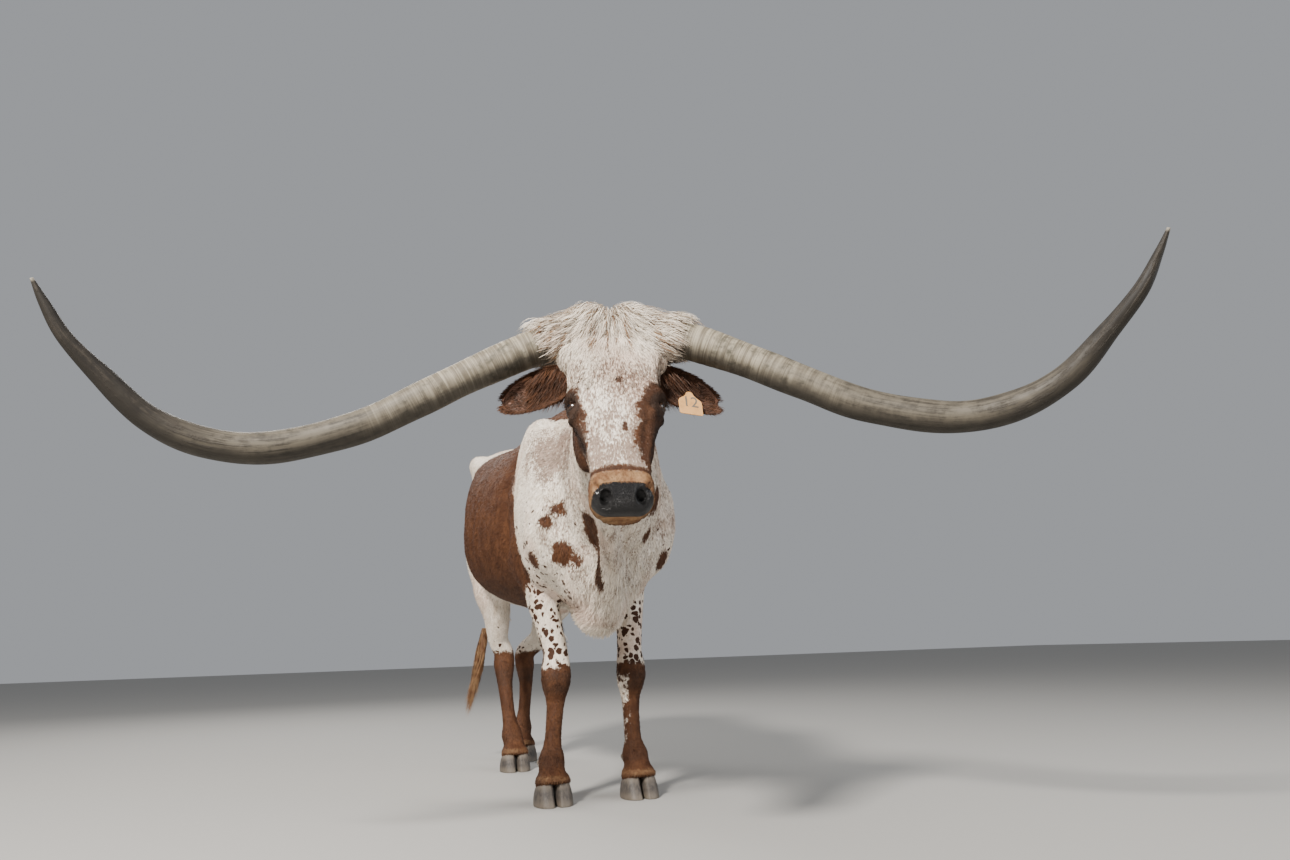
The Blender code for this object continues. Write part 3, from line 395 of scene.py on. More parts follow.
def line_distance(points, path):
    """How far points are from a path of points."""
    found = np.full(len(points), 9.0)
    for start, end in zip(path, path[1:]):
        start, along = np.array(start), np.array(end) - np.array(start)
        t = np.clip((points - start) @ along / (along @ along), 0, 1)
        found = np.minimum(found, np.linalg.norm(points - start - t[:, None] * along, axis=1))
    return found


def beside(points, path, width):
    """1 on a path of points, falling away over a width on each side."""
    return np.exp(-((line_distance(points, path) / width) ** 2))


def body_places(points):
    """The points from the middle of the shoulders, and in the head's own turned coordinates."""
    return points - np.array(SHIFT), carried(points, HEAD.inverted())


TAIL_LINE = (
    (-0.005, 1.46, 1.30),
    (-0.03, 1.50, 1.05),
    (-0.09, 1.49, 0.80),
    (-0.155, 1.455, 0.55),
    (-0.19, 1.45, 0.20),
)


def regions(points):
    """Shares of the head, the legs, the tail, the neck and the trunk."""
    p, h = body_places(points)
    head = rise(0.17 - h[:, 1], 0, 0.06)
    tail = (line_distance(p, TAIL_LINE) < 0.060) * rise(1.36 - p[:, 2], 0, 0.04)
    brisket = rise(0.11 - np.abs(p[:, 0]), 0, 0.03) * (p[:, 1] < 0.30) * rise(p[:, 2], 0.55, 0.60)
    legs = rise(0.78 - p[:, 2], 0, 0.14) * (1 - brisket) * (1 - tail) * (1 - head)
    neck = rise(-0.16 - p[:, 1], 0, 0.10) * (1 - head) * (1 - legs)
    trunk = np.clip(1 - head - legs - tail - neck, 0, 1)
    return {"head": head, "legs": legs, "tail": tail, "neck": neck, "trunk": trunk}


def lie_of_coat(points):
    """The way that the hair lies at each point."""
    p, h = body_places(points)
    share = regions(points)
    turn = np.array(HEAD)[:3, :3]
    away = h - np.array(WHORL)
    away[:, 0] *= 1.5
    away /= np.linalg.norm(away, axis=1)[:, None] + 1e-6
    down = np.stack([h[:, 0] * 5, h[:, 1] * 3, np.full(len(h), -1.0)], axis=1)
    down /= np.linalg.norm(down, axis=1)[:, None]
    upper = rise(h[:, 2], -0.30, -0.16)[:, None]
    face = (away * upper + down * (1 - upper)) @ turn.T
    side, level = np.sign(p[:, 0]), np.zeros(len(p))

    def lying(out, back, down):
        """A way by its parts: out from the spine, towards the tail, and up."""
        return np.stack([side * out, level + back, level + down], axis=1)

    ways = (
        ("head", face),
        ("trunk", lying(0.10, 0.9, -0.45 + 0.4 * rise(0.75 - p[:, 2], 0, 0.1))),
        ("neck", lying(0.10, 0.62, -0.85)),
        ("legs", lying(0.03, 0.20, -1.0)),
        ("tail", lying(0.0, 0.1, -1.0)),
    )
    total = sum(share[name][:, None] * way for name, way in ways)
    return total / (np.linalg.norm(total, axis=1)[:, None] + 1e-6)


BLAZE = (
    (0.12, -0.200, 0.200),
    (0.00, -0.180, 0.180),
    (-0.05, -0.150, 0.156),
    (-0.10, -0.124, 0.128),
    (-0.15, -0.117, 0.108),
    (-0.20, -0.112, 0.083),
    (-0.25, -0.098, 0.056),
    (-0.30, -0.083, 0.046),
    (-0.385, -0.077, 0.043),
    (-0.43, -0.082, 0.052),
    (-0.48, -0.090, 0.075),
    (-0.60, -0.090, 0.080),
)
SADDLE_RIGHT = (
    (0.16, 1.60),
    (0.14, 1.30),
    (0.10, 1.12),
    (-0.02, 0.94),
    (-0.04, 0.80),
    (0.16, 0.66),
    (0.55, 0.64),
    (0.72, 0.80),
    (0.92, 0.92),
    (1.02, 1.10),
    (1.06, 1.27),
    (0.96, 1.37),
    (0.78, 1.44),
    (0.70, 1.60),
)
SADDLE_LEFT = (
    (0.30, 1.60),
    (0.26, 1.34),
    (0.36, 1.12),
    (0.30, 0.94),
    (0.44, 0.80),
    (0.66, 0.84),
    (0.80, 0.98),
    (0.94, 1.16),
    (0.86, 1.36),
    (0.72, 1.60),
)
RIDGE = ((-0.17, -0.80, 1.36), (-0.10, -0.50, 1.40), (0.0, -0.20, 1.45), (0.0, 0.25, 1.45), (0.0, 0.70, 1.42))
STRIPE = ((-0.128, -0.448, 0.945), (-0.098, -0.390, 0.855), (-0.064, -0.350, 0.750))
FACE_SPOTS = ((0.004, -0.057, -0.193), (0.014, -0.050, -0.339))
BODY_SPOTS = (
    ((-0.250, -0.148, 0.834), 0.030),
    ((-0.229, -0.260, 0.961), 0.026),
    ((-0.170, -0.264, 0.850), 0.032),
    ((-0.123, -0.285, 0.820), 0.024),
    ((-0.215, -0.215, 0.900), 0.018),
    ((-0.200, -0.300, 1.000), 0.036),
    ((0.095, -0.482, 1.002), 0.038),
    ((0.100, -0.380, 0.900), 0.026),
    ((0.208, -0.228, 0.827), 0.030),
    ((0.235, -0.120, 0.960), 0.028),
    ((0.270, 0.020, 0.900), 0.024),
)
SPECKLED = (
    ((-0.24, -0.10, 0.90), (0.2, 0.30, 0.26), 0.52),
    ((0.26, -0.05, 0.90), (0.2, 0.40, 0.34), 0.60),
    ((0.30, 0.60, 0.95), (0.2, 0.60, 0.40), 0.55),
    ((-0.10, -0.40, 0.92), (0.14, 0.16, 0.16), 0.50),
)
ROAN = (
    ((0, -0.05, 1.18), (0.5, 0.42, 0.42), 0.6),
    ((-0.21, -0.28, 1.24), (0.16, 0.42, 0.26), 1.30),
    ((0, 0.10, 1.45), (0.4, 0.9, 0.20), 0.6),
)
DARK_FACE = (
    (EYE_PLACE, (0.075, 0.080, 0.080), 1.6),
    ((0.135, 0.01, -0.13), (0.05, 0.09, 0.11), 1.3),
    ((0.105, 0.02, -0.37), (0.06, 0.10, 0.16), 1.1),
)
NOSTRIL = ((0.069, -0.036, -0.508), (0.069, -0.043, -0.524), (0.060, -0.049, -0.538), (0.047, -0.052, -0.546))
BORDER = 0.20
SHOULDER_TO_BARREL, BARREL_TO_RUMP = 0.36, 0.88
STOCKING_FORE, STOCKING_HIND = 0.47, 0.53
KNEE, FETLOCK, CORONET = 0.41, 0.16, 0.090
MUZZLE_TOP, MUZZLE_FULL = 0.464, 0.480


def blaze_edges(h):
    """The right and left edges of the white blaze at the height of each point on the head."""
    heights, *edges = zip(*sorted(BLAZE))
    return [np.interp(h[:, 2], heights, edge) for edge in edges]


def inside(across, up, outline):
    """How far points are inside an outline, or outside it as a negative number."""
    nearest = np.full(len(across), 9.0)
    within = np.zeros(len(across), bool)
    for (ax, ay), (bx, by) in zip(outline, outline[1:] + outline[:1]):
        dx, dy = bx - ax, by - ay
        t = np.clip(((across - ax) * dx + (up - ay) * dy) / (dx * dx + dy * dy), 0, 1)
        nearest = np.minimum(nearest, np.hypot(across - ax - t * dx, up - ay - t * dy))
        crosses = (ay > up) != (by > up)
        within ^= crosses & (across < ax + (up - ay) * dx / (dy if dy else 1e-9))
    return np.where(within, nearest, -nearest)


def markings(points):
    """Where the hide is red, spotted, roan or dark, and where it is nose, muzzle, or hair that lies down."""
    p, h = body_places(points)
    x, y, z = p.T
    share = regions(points)
    saddle = np.where(x < 0, inside(y, z, SADDLE_RIGHT), inside(y, z, SADDLE_LEFT))
    saddle = np.minimum(saddle, np.abs(x) - 0.09 + 4 * rise(z, 0.72, 0.80))
    ridge = 0.165 - 0.03 * rise(-y, 0.0, 0.35) - line_distance(p, RIDGE)
    red = np.maximum(saddle, ridge)
    stocking = np.where(y > 0.75, STOCKING_HIND, STOCKING_FORE) - z
    red = np.where(share["legs"] > 0.5, np.maximum(stocking, np.where(z > 0.60, red, -0.08)), red)
    for centre, radius in BODY_SPOTS:
        away = np.linalg.norm((p - np.array(centre)) * (1.0, 0.7, 0.8), axis=1)
        red = np.maximum(red, 1.6 * (radius - away))
    red = np.maximum(red, 1.2 * (0.036 - line_distance(p, STRIPE)))
    inner = np.maximum(x - 0.130, np.abs(z - 0.31) - 0.12)
    red = np.where((x > 0) & (y < 0.6), np.minimum(red, inner), red)
    right_edge, left_edge = blaze_edges(h)
    cheek = np.maximum(right_edge - h[:, 0], h[:, 0] - left_edge)
    cheek = np.maximum(cheek, np.minimum(h[:, 1] - 0.045, 0.06))
    cheek = np.where(h[:, 2] > -0.02, -0.1, cheek)
    band = np.abs(-h[:, 2] - 0.6 * h[:, 0] ** 2 - MUZZLE_TOP)
    cheek = np.maximum(cheek, 0.026 - 3.0 * band)
    throat = rise(h[:, 1], 0.12, 0.17)
    cheek = cheek * (1 - throat) - 0.03 * throat
    for centre in FACE_SPOTS:
        away = np.linalg.norm((h - np.array(centre)) * (1.0, 0.3, 0.8), axis=1)
        cheek = np.maximum(cheek, 0.012 - 1.3 * away)
    red = red * (1 - share["head"]) + cheek * share["head"]
    down = rise(-z, -0.86, -0.46)
    upper = rise(0.84 - z, 0, 0.07) * rise(np.abs(x), 0.07, 0.10) * (y > -0.22)
    hind_spots = share["legs"] * (0.18 + 0.40 * rise(-z, -0.62, -0.52))
    spots = np.where(y < 0.5, upper * (0.50 + 0.30 * down), hind_spots)
    spots *= rise(z, 0.34, 0.40)
    spots = patched(spots, p, SPECKLED)
    spots = np.maximum(spots, rise(y, 1.02, 1.20) * rise(z, 0.5, 0.7) * 0.16)
    roan = patched(share["neck"] * 0.40, p, ROAN)
    brow = share["head"] * rise(-h[:, 2], 0.02, 0.16)
    roan = np.maximum(roan, brow * (0.60 + 0.20 * rise(-h[:, 2], 0.28, 0.44)))
    stripe = 1 - rise(line_distance(p, STRIPE), 0.020, 0.055)
    sides = mirrored(h)
    dark = patched(np.zeros(len(p)), sides, DARK_FACE)
    dark = np.maximum(dark, 0.44) * share["head"] * rise(cheek, -0.004, 0.012)
    for centre in FACE_SPOTS:
        dark = np.maximum(dark, share["head"] * near(h, centre, (0.030, 0.06, 0.036)) * 0.40)
    # Darker under the lower lip and on the chin: painted shade under the mouth, over the tan hair.
    chin_shade = share["head"] * rise(-h[:, 2], 0.49, 0.53) * rise(h[:, 1], 0.000, 0.020)
    dark = np.maximum(dark, 0.40 * chin_shade)
    dark = np.clip(np.maximum(dark, stripe * 0.45), 0, 1)
    dark = np.maximum(dark, 0.30 * rise(0.80 - z, 0, 0.1) * share["trunk"] * (y > 0.3))
    dark = np.maximum(dark, 0.42 * (1 - rise(np.abs(z - KNEE), 0.02, 0.07)) * share["legs"])
    dark = np.maximum(dark, 0.30 * (1 - rise(np.abs(z - FETLOCK), 0.02, 0.06)) * share["legs"])
    muzzle = share["head"] * rise(-h[:, 2] - 0.6 * h[:, 0] ** 2, MUZZLE_TOP, MUZZLE_FULL)
    muzzle = np.maximum(muzzle, 0.46 * (1 - rise(np.abs(z - CORONET), 0.006, 0.024)) * share["legs"])
    below = -h[:, 2] + 0.5 * np.maximum(0, h[:, 1] + 0.035) - 0.558
    shape = (np.abs(h[:, 0]) / 0.077) ** 3 + (np.abs(below) / np.where(below < 0, 0.052, 0.044)) ** 3
    pad = share["head"] * (1 - rise(shape, 0.85, 1.20)) * (1 - rise(h[:, 1], 0.006, 0.020))
    upright = np.clip(share["head"] + share["legs"] + share["tail"], 0, 1)
    edge = np.clip(0.5 + red / BORDER, 0, 1)
    marks = np.stack([edge, np.clip(spots, 0, 1), np.clip(roan, 0, 1), dark], axis=1)
    # Inside the nostrils the hide is painted near black: painted shade in the holes.
    slit = line_distance(sides, NOSTRIL)
    hole = np.linalg.norm((sides - np.array(NOSTRIL[-1])) / (0.015, 0.050, 0.018), axis=1)
    nostril_shade = np.maximum(1 - rise(slit, 0.004, 0.008), 1 - rise(hole, 0.8, 1.1)) * pad
    return marks, np.stack([pad, muzzle, upright, nostril_shade], axis=1)


def spotted(finish, spots):
    """Where ragged spots lie, larger and closer together where their share is high."""
    drift = {"Vector": finish.where, "Scale": 32.0, "Detail": 2.0}
    wander = finish.node("ShaderNodeTexNoise", None, drift, "Color")
    shift = {0: wander, 1: (0.034,) * 3, 2: finish.where}
    moved = finish.node("ShaderNodeVectorMath", {"operation": "MULTIPLY_ADD"}, shift)
    cells = {"Vector": moved, "Scale": SPOT_CELLS}
    reach = finish.node("ShaderNodeTexVoronoi", None, cells, "Distance")
    tinted = finish.node("ShaderNodeTexVoronoi", None, cells, "Color")
    chance = finish.node("ShaderNodeSeparateColor", None, {0: tinted})
    size = spots * 0.66 + chance * 0.36 - 0.24
    return (size - reach).step(-0.03, 0.03) * spots.step(0.02, 0.10)


def hide_finish(name, coat):
    """Hair or hide with the animal's markings."""
    finish = Finish(name, 0.62 if coat else 0.75)
    border, spots, roan, dark = finish.attribute("marks")
    pad, muzzle, upright, nostril_shade = finish.attribute("places")
    broad = finish.noise(finish.where, 7.0, 2.0)
    ragged = finish.noise(finish.where, 26.0, 3.0, 0.65)
    fine = finish.noise(finish.where, 120.0, 2.0)
    edge = border + (broad - 0.5) * 0.30 + (ragged - 0.5) * 0.26 + (fine - 0.5) * 0.16
    red = edge.step(0.465, 0.535)
    flecks = finish.noise(finish.scaled(finish.where, (1, 1, 0.35)), 210.0, 2.0, 0.6)
    patches = finish.noise(finish.scaled(finish.where, (1, 1, 0.4)), 22.0, 2.0)
    fleck = (flecks * 0.72 + patches * 0.44 + roan * 0.34).step(0.70, 0.86) * roan.step(0.02, 0.2)
    dirt = finish.noise(finish.scaled(finish.where, (1, 1, 0.6)), 11.0, 4.0, 0.7)
    dusty = finish.noise(finish.where, 4.0, 3.0)
    ruddy = finish.noise(finish.scaled(finish.where, (1, 0.5, 0.5)), 34.0, 3.0, 0.6)
    soiled, flecked = (0.40, 0.285, 0.190, 1), (0.165, 0.085, 0.052, 1)
    rusty, sand = (0.135, 0.058, 0.024, 1), (0.175, 0.082, 0.038, 1)
    pale = finish.layered(
        colour("cream"),
        (dusty.step(0.44, 0.70) * 0.8, colour("blush")),
        ((dirt * 0.8 + flecks * 0.3).step(0.52, 0.80) * 0.55, soiled),
    )
    brown = finish.layered(
        dimmed(colour("red"), 0.50),
        (ruddy.step(0.30, 0.70), rusty),
        (0.55, colour("red")),
    )
    sandy = finish.mix(ragged.step(0.35, 0.65), colour("tan"), sand)
    mixed = finish.layered(
        pale,
        (fleck * 0.78, flecked),
        (spotted(finish, spots), dimmed(colour("red"), 0.62)),
        (red, brown),
        ((dark + (ragged - 0.5) * 0.5).step(0.15, 0.75), colour("dark")),
        ((muzzle + (fine - 0.5) * 0.3).step(0.3, 0.7), sandy),
    )
    wet = (pad + (fine - 0.5) * 0.2).step(0.35, 0.65)
    if coat:
        tip, tint, _, _ = finish.attribute("strand")
        # Each tuft is darker towards its root and lighter towards its tip: painted shade inside the coat and
        # painted light at the tips, over a random tint per tuft.
        light = finish.mix(tint * 0.55 + tip * 0.25, (0.62, 0.60, 0.58, 1), (1.16, 1.13, 1.08, 1))
        settings = {"data_type": "RGBA", "blend_type": "MULTIPLY"}
        root_shaded = finish.node("ShaderNodeMix", settings, {0: 1.0, 6: mixed, 7: light}, 2)
        finish.feed("Base Color", root_shaded)
        finish.feed("Specular IOR Level", 0.25)
        return finish.material
    beading = {"Vector": finish.where, "Scale": NOSE_CELLS}
    nose_cells = finish.node("ShaderNodeTexVoronoi", {"feature": "DISTANCE_TO_EDGE"}, beading)
    nose = finish.mix(nose_cells.step(0.0, 0.25), colour("nose"), (0.010, 0.009, 0.0092, 1))
    # The nostrils are painted near black and made fully rough: painted shade in the holes.
    nose = finish.mix(nostril_shade, nose, (0.0012, 0.001, 0.001, 1))
    finish.feed("Base Color", finish.mix(wet, mixed, nose))
    finish.feed("Roughness", 0.72 + nostril_shade * 0.28 - wet * (1 - nostril_shade) * 0.34)
    finish.feed("Coat Weight", wet * (1 - nostril_shade) * 0.28)
    finish.feed("Coat Roughness", 0.16)
    finish.feed("Specular IOR Level", 0.22)
    across = finish.noise(finish.scaled(finish.where, (190, 26, 190)), 1.0, 2.0)
    along = finish.noise(finish.scaled(finish.where, (190, 190, 26)), 1.0, 2.0)
    hairs = across * (1 - upright) + along * upright
    beads = nose_cells.step(0.0, 0.35) * 1.7 + finish.noise(finish.where, 70.0, 3.0) * 2.2
    ripple = hairs * (1 - wet) * 0.9 + beads * wet + fine * 0.35
    finish.bump(ripple, 0.6, 0.0020)
    return finish.material


CREASES = (
    (((-0.17, -0.30, 1.30), (-0.21, -0.26, 1.12), (-0.20, -0.27, 0.94)), 0.034, 0.014),
    (((0.16, -0.30, 1.30), (0.21, -0.26, 1.12), (0.20, -0.27, 0.94)), 0.034, 0.014),
    (((-0.23, 0.16, 1.34), (-0.28, 0.20, 1.14), (-0.29, 0.16, 0.92)), 0.045, 0.014),
    (((0.23, 0.16, 1.34), (0.28, 0.20, 1.14), (0.29, 0.16, 0.92)), 0.045, 0.014),
    (((-0.34, 1.00, 1.30), (-0.33, 0.93, 1.10), (-0.27, 0.92, 0.90)), 0.070, 0.016),
    (((0.34, 1.00, 1.30), (0.33, 0.93, 1.10), (0.27, 0.92, 0.90)), 0.070, 0.016),
    (((-0.16, -0.66, 1.26), (-0.13, -0.62, 1.10), (-0.10, -0.60, 0.98)), 0.016, 0.006),
    (((0.06, -0.62, 1.26), (0.05, -0.60, 1.10), (0.00, -0.58, 0.98)), 0.016, 0.006),
    (((-0.17, -0.55, 1.28), (-0.15, -0.50, 1.10), (-0.10, -0.46, 0.92)), 0.018, 0.005),
    (((0.10, -0.52, 1.28), (0.10, -0.48, 1.10), (0.04, -0.44, 0.92)), 0.018, 0.005),
    (((-0.09, -0.40, 0.98), (-0.080, -0.36, 0.84), (-0.05, -0.24, 0.68)), 0.020, 0.012),
    (((0.08, -0.38, 0.98), (0.070, -0.34, 0.84), (0.04, -0.22, 0.68)), 0.020, 0.012),
    (((-0.20, -0.20, 0.90), (-0.16, -0.20, 0.80), (-0.10, -0.14, 0.72)), 0.024, 0.010),
    (((0.20, -0.20, 0.90), (0.16, -0.20, 0.80), (0.10, -0.14, 0.72)), 0.024, 0.010),
)
BULGES = (
    ((0.20, -0.02, 1.24), (0.09, 0.10, 0.26), 0.010),
    ((0.21, -0.10, 0.95), (0.10, 0.12, 0.14), 0.012),
    ((0.22, 0.16, 0.90), (0.10, 0.12, 0.16), 0.010),
    ((0.27, 1.03, 1.43), (0.08, 0.13, 0.08), 0.014),
    ((0.26, 1.22, 1.10), (0.12, 0.16, 0.26), 0.012),
    ((0.24, 1.02, 0.80), (0.08, 0.12, 0.12), 0.010),
    ((0.10, 1.48, 1.28), (0.07, 0.10, 0.08), 0.010),
    ((0.00, -0.38, 0.82), (0.07, 0.14, 0.14), 0.010),
)
BROW_FOLDS = [
    ((0.070, -0.058, -0.186 + lift), (0.102, -0.040, -0.186 + lift), (0.128, 0.000, -0.206 + lift))
    for lift in (0.0, 0.015, 0.030)
]
FACE_FORMS = (
    (((0.078, -0.054, -0.205), (0.104, -0.040, -0.214), (0.130, 0.000, -0.232)), 0.015, 0.009),
    (((0.090, -0.045, -0.284), (0.115, -0.020, -0.290), (0.128, 0.020, -0.284)), 0.013, 0.005),
    (((0.092, -0.046, -0.268), (0.080, -0.056, -0.305)), 0.009, -0.005),
    (((0.132, -0.010, -0.090), (0.128, -0.020, -0.180)), 0.022, -0.007),
    *((fold, 0.005, -0.003) for fold in BROW_FOLDS),
    (((0.108, 0.01, -0.30), (0.090, -0.02, -0.39), (0.078, -0.02, -0.45)), 0.018, 0.006),
    (((0.078, -0.045, -0.33), (0.066, -0.046, -0.42)), 0.016, -0.006),
    (NOSTRIL, 0.0065, -0.010),
)
NOSTRIL_WING = ((0.056, -0.054, -0.510), (0.032, -0.056, -0.526), (0.028, -0.052, -0.552))
LIP_CLEFT = ((0, -0.055, -0.545), (0, -0.040, -0.575))


def sculpted(points, normals):
    """How far each point of the hide moves out: muscle, folds, ribs, tendons, brows, mouth and coat depth."""
    p, h = body_places(points)
    share = regions(points)
    move = np.full(len(p), -0.0015) - sizes().coat_depth * (1 - 0.5 * share["head"] - 0.4 * share["legs"])
    coronet = share["legs"] * (1 - rise(p[:, 2], 0.080, 0.115))
    move += (0.0035 - move) * coronet
    for path, width, depth in CREASES:
        move -= depth * beside(p, path, width)
    sides = mirrored(p)
    for centre, radii, height in BULGES:
        move += height * near(sides, centre, radii)
    rib = np.sin((p[:, 1] + 0.10 * (p[:, 2] - 1.0)) * 2 * math.pi / 0.085)
    cage = near(sides, (0.36, 0.62, 1.05), (0.20, 0.36, 0.34))
    move += 0.0022 * rib * cage
    wrinkle = np.sin((p[:, 1] * 0.85 + p[:, 2] * 0.55 + 0.05 * np.sin(9 * p[:, 2])) * 2 * math.pi / 0.055)
    move += 0.0022 * wrinkle * share["neck"] * rise(1.22 - p[:, 2], 0, 0.2)
    for foot_y in (0.03, 1.42, 1.06):
        behind = p[:, 1] - foot_y
        cannon = (np.abs(behind) < 0.14) * np.exp(-(((p[:, 2] - 0.26) / 0.07) ** 2))
        away = normals[:, 0] ** 2 * np.clip(0.5 - behind * 12, 0, 1) * np.clip(0.5 + behind * 12, 0, 1)
        move -= 0.005 * cannon * away
    face = mirrored(h)
    on_head = share["head"]
    for path, width, height in FACE_FORMS:
        move += height * beside(face, path, width) * on_head
    hole = np.linalg.norm((face - np.array(NOSTRIL[-1])) / (0.011, 0.030, 0.014), axis=1)
    move -= 0.024 * np.exp(-(hole**2)) * on_head
    move += 0.0055 * beside(face, NOSTRIL_WING, 0.009) * on_head
    above = (h[:, 1] - 0.028) * 0.155 - (h[:, 2] + 0.445) * -0.068
    lip = np.abs(above) / 0.169 + 9 * rise(h[:, 2], -0.455, -0.440)
    move -= 0.006 * np.exp(-((lip / 0.004) ** 2)) * on_head
    rim = (0.5 * np.maximum(0, h[:, 1] + 0.035) - h[:, 2] - 0.604) / 0.004
    move -= 0.004 * np.exp(-(rim**2)) * (1 - rise(np.abs(h[:, 0]), 0.045, 0.070)) * on_head
    move -= 0.003 * beside(h, LIP_CLEFT, 0.004) * on_head
    return points + normals * move[:, None]


def ball(bm, centre, radii, segments=32):
    """An ellipsoid in the head's coordinates."""
    matrix = HEAD @ Matrix.Translation(centre) @ Matrix.Diagonal((*radii, 1))
    bmesh.ops.create_uvsphere(bm, u_segments=segments, v_segments=segments // 2, radius=1, matrix=matrix)


def merged(*nodes):
    """A bmesh of the solids of some nodes, with their loose triangles joined."""
    bm = bmesh.new()
    for node in nodes:
        bm.from_mesh(frame["nodes"][node].data)
    bmesh.ops.remove_doubles(bm, verts=bm.verts, dist=MERGE_GAP)
    return bm


def panelled(*nodes):
    """A bmesh of the solids of some nodes, with each flat side as one face."""
    bm = merged(*nodes)
    bmesh.ops.dissolve_limit(bm, angle_limit=math.radians(1.0), verts=bm.verts, edges=bm.edges)
    return bm


def softened(bm, degrees, width):
    """Rounds the edges that turn by more than an angle."""
    joined = [edge for edge in bm.edges if len(edge.link_faces) == 2]
    sharp = [edge for edge in joined if edge.calc_face_angle(0) > math.radians(degrees)]
    bmesh.ops.bevel(
        bm, geom=sharp, offset=width, affect="EDGES", segments=2, profile=0.5, material=-1, clamp_overlap=True
    )


def rounded(obj):
    """Smooths an object by one level of subdivision."""
    subdivide = obj.modifiers.new("Smooth", "SUBSURF")
    subdivide.levels = subdivide.render_levels = 1
    apply_modifiers(obj)
    obj.data.shade_smooth()


def fused_flesh():
    """Copies of the flesh, swollen a little, fused with the poll's mound and the horn roots."""
    bm = bmesh.new()
    for name in FLESH:
        part = merged(name)
        part.normal_update()
        for vert in part.verts:
            vert.co += vert.normal * 0.0015
        copy = bpy.data.meshes.new("copy")
        part.to_mesh(copy)
        part.free()
        bm.from_mesh(copy)
        bpy.data.meshes.remove(copy)
    ball(bm, POLL_CENTRE, POLL_RADII)
    ball(bm, (0, 0.005, -0.080), (0.148, 0.060, 0.085))
    for _, sign in SIDES:
        root = horn_line(sign)
        for share in (0.02, 0.04, 0.06, 0.08, 0.10):
            centre, radius = horn_place(root, share)
            matrix = Matrix.Translation(centre) @ Matrix.Scale(radius + 0.004 - 0.03 * share, 4)
            bmesh.ops.create_uvsphere(bm, u_segments=24, v_segments=12, radius=1, matrix=matrix)
        ball(bm, (sign * 0.090, 0.050, -0.135), (0.030, 0.026, 0.030), 16)
    mesh = bpy.data.meshes.new("hide")
    bm.to_mesh(mesh)
    bm.free()
    obj = bpy.data.objects.new("fuse", mesh)
    bpy.context.scene.collection.objects.link(obj)
    remesh = obj.modifiers.new("Fuse", "REMESH")
    remesh.mode = "VOXEL"
    remesh.voxel_size = sizes().skin_voxel
    apply_modifiers(obj)
    return obj


def weigh(obj, name, shares):
    """A vertex group with these shares, in tenths."""
    group = obj.vertex_groups.new(name=name)
    for tenth in range(1, 11):
        index = np.nonzero(np.round(shares * 10) == tenth)[0]
        group.add([int(i) for i in index], tenth / 10, "REPLACE")


def smoothed(obj, shares, iterations):
    """Smooths the object where the shares say."""
    weigh(obj, "smooth", shares)
    smooth = obj.modifiers.new("Smooth", "SMOOTH")
    smooth.factor = 0.5
    smooth.iterations = iterations
    smooth.vertex_group = "smooth"
    apply_modifiers(obj)
    obj.vertex_groups.clear()


def between(p, q, r, e, t):
    """A point on a smooth curve through four values, at a share of the way from the second to the third."""
    square, cube = 2 * p - 5 * q + 4 * r - e, 3 * q - p - 3 * r + e
    return 0.5 * (2 * q + (r - p) * t + square * t * t + cube * t**3)


def horn_line(sign):
    """A horn's centre line as points with their radii, close together."""
    level = Matrix.Translation(HEAD_PLACE) @ Matrix.Rotation(HORN_YAW, 4, "Z")
    rows = [HORN_ROWS[0], *HORN_ROWS, HORN_ROWS[-1]]
    found = []
    for before, first, second, after in zip(rows, rows[1:], rows[2:], rows[3:]):
        for step in range(HORN_STEPS):
            t = step / HORN_STEPS
            s, y, z, radius = (between(*values, t) for values in zip(before, first, second, after))
            drop = RIGHT_HORN_DROOP * s if sign < 0 else 0
            found.append((level @ Vector((sign * s, y, z - drop)), radius))
    return found


def horn_place(line, share):
    """Centre and radius at a share of a horn's length."""
    return line[int(share * (len(line) - 1))]


class Made:
    """What later operators need from the hide."""

    points = normals = triangles = marks = places = tree = None


def tree_of(points, triangles, shells):
    """A search tree of the hide and of the meshes that stand out of it."""
    places, faces = points.tolist(), triangles.tolist()
    for mesh in shells:
        first = len(places)
        places.extend(points_of(mesh).tolist())
        faces.extend([first + corner for corner in face.vertices] for face in mesh.polygons)
    return BVHTree.FromPolygons(places, faces)


class LONGHORN_OT_hide(bpy.types.Operator):
    """One skin over all the flesh, with its folds and markings"""

    bl_idname = "longhorn.hide"
    bl_label = "Hide"

    def execute(self, context):
        obj = fused_flesh()
        share = regions(points_of(obj.data))
        smoothed(obj, np.ones(len(obj.data.vertices)), 4)
        smoothed(obj, np.clip(share["trunk"] + share["neck"] * 0.9 + share["legs"] * 0.25, 0, 1), 110)
        set_points(obj.data, sculpted(points_of(obj.data), points_of(obj.data, True)))
        share = regions(points_of(obj.data))
        weigh(obj, "thin", np.where(share["head"] > 0.5, 0.0, 1.0))
        thin = obj.modifiers.new("Thin", "DECIMATE")
        whole = 2 * len(obj.data.polygons)
        thin.ratio = min(1.0, HIDE_TRIANGLES / whole)
        thin.vertex_group = "thin"
        thin.use_collapse_triangulate = True
        apply_modifiers(obj)
        smoothed(obj, np.full(len(obj.data.vertices), 0.6), 2)
        mesh = obj.data.copy()
        bpy.data.objects.remove(obj)
        Made.points, Made.normals = points_of(mesh), points_of(mesh, True)
        Made.marks, Made.places = markings(Made.points)
        set_shares(mesh, "marks", Made.marks)
        set_shares(mesh, "places", Made.places)
        mesh.calc_loop_triangles()
        corners = np.empty(len(mesh.loop_triangles) * 3, np.int32)
        mesh.loop_triangles.foreach_get("vertices", corners)
        Made.triangles = corners.reshape(-1, 3)
        finished("hide", mesh, hide_finish("hide", False), FLESH)
        return {"FINISHED"}


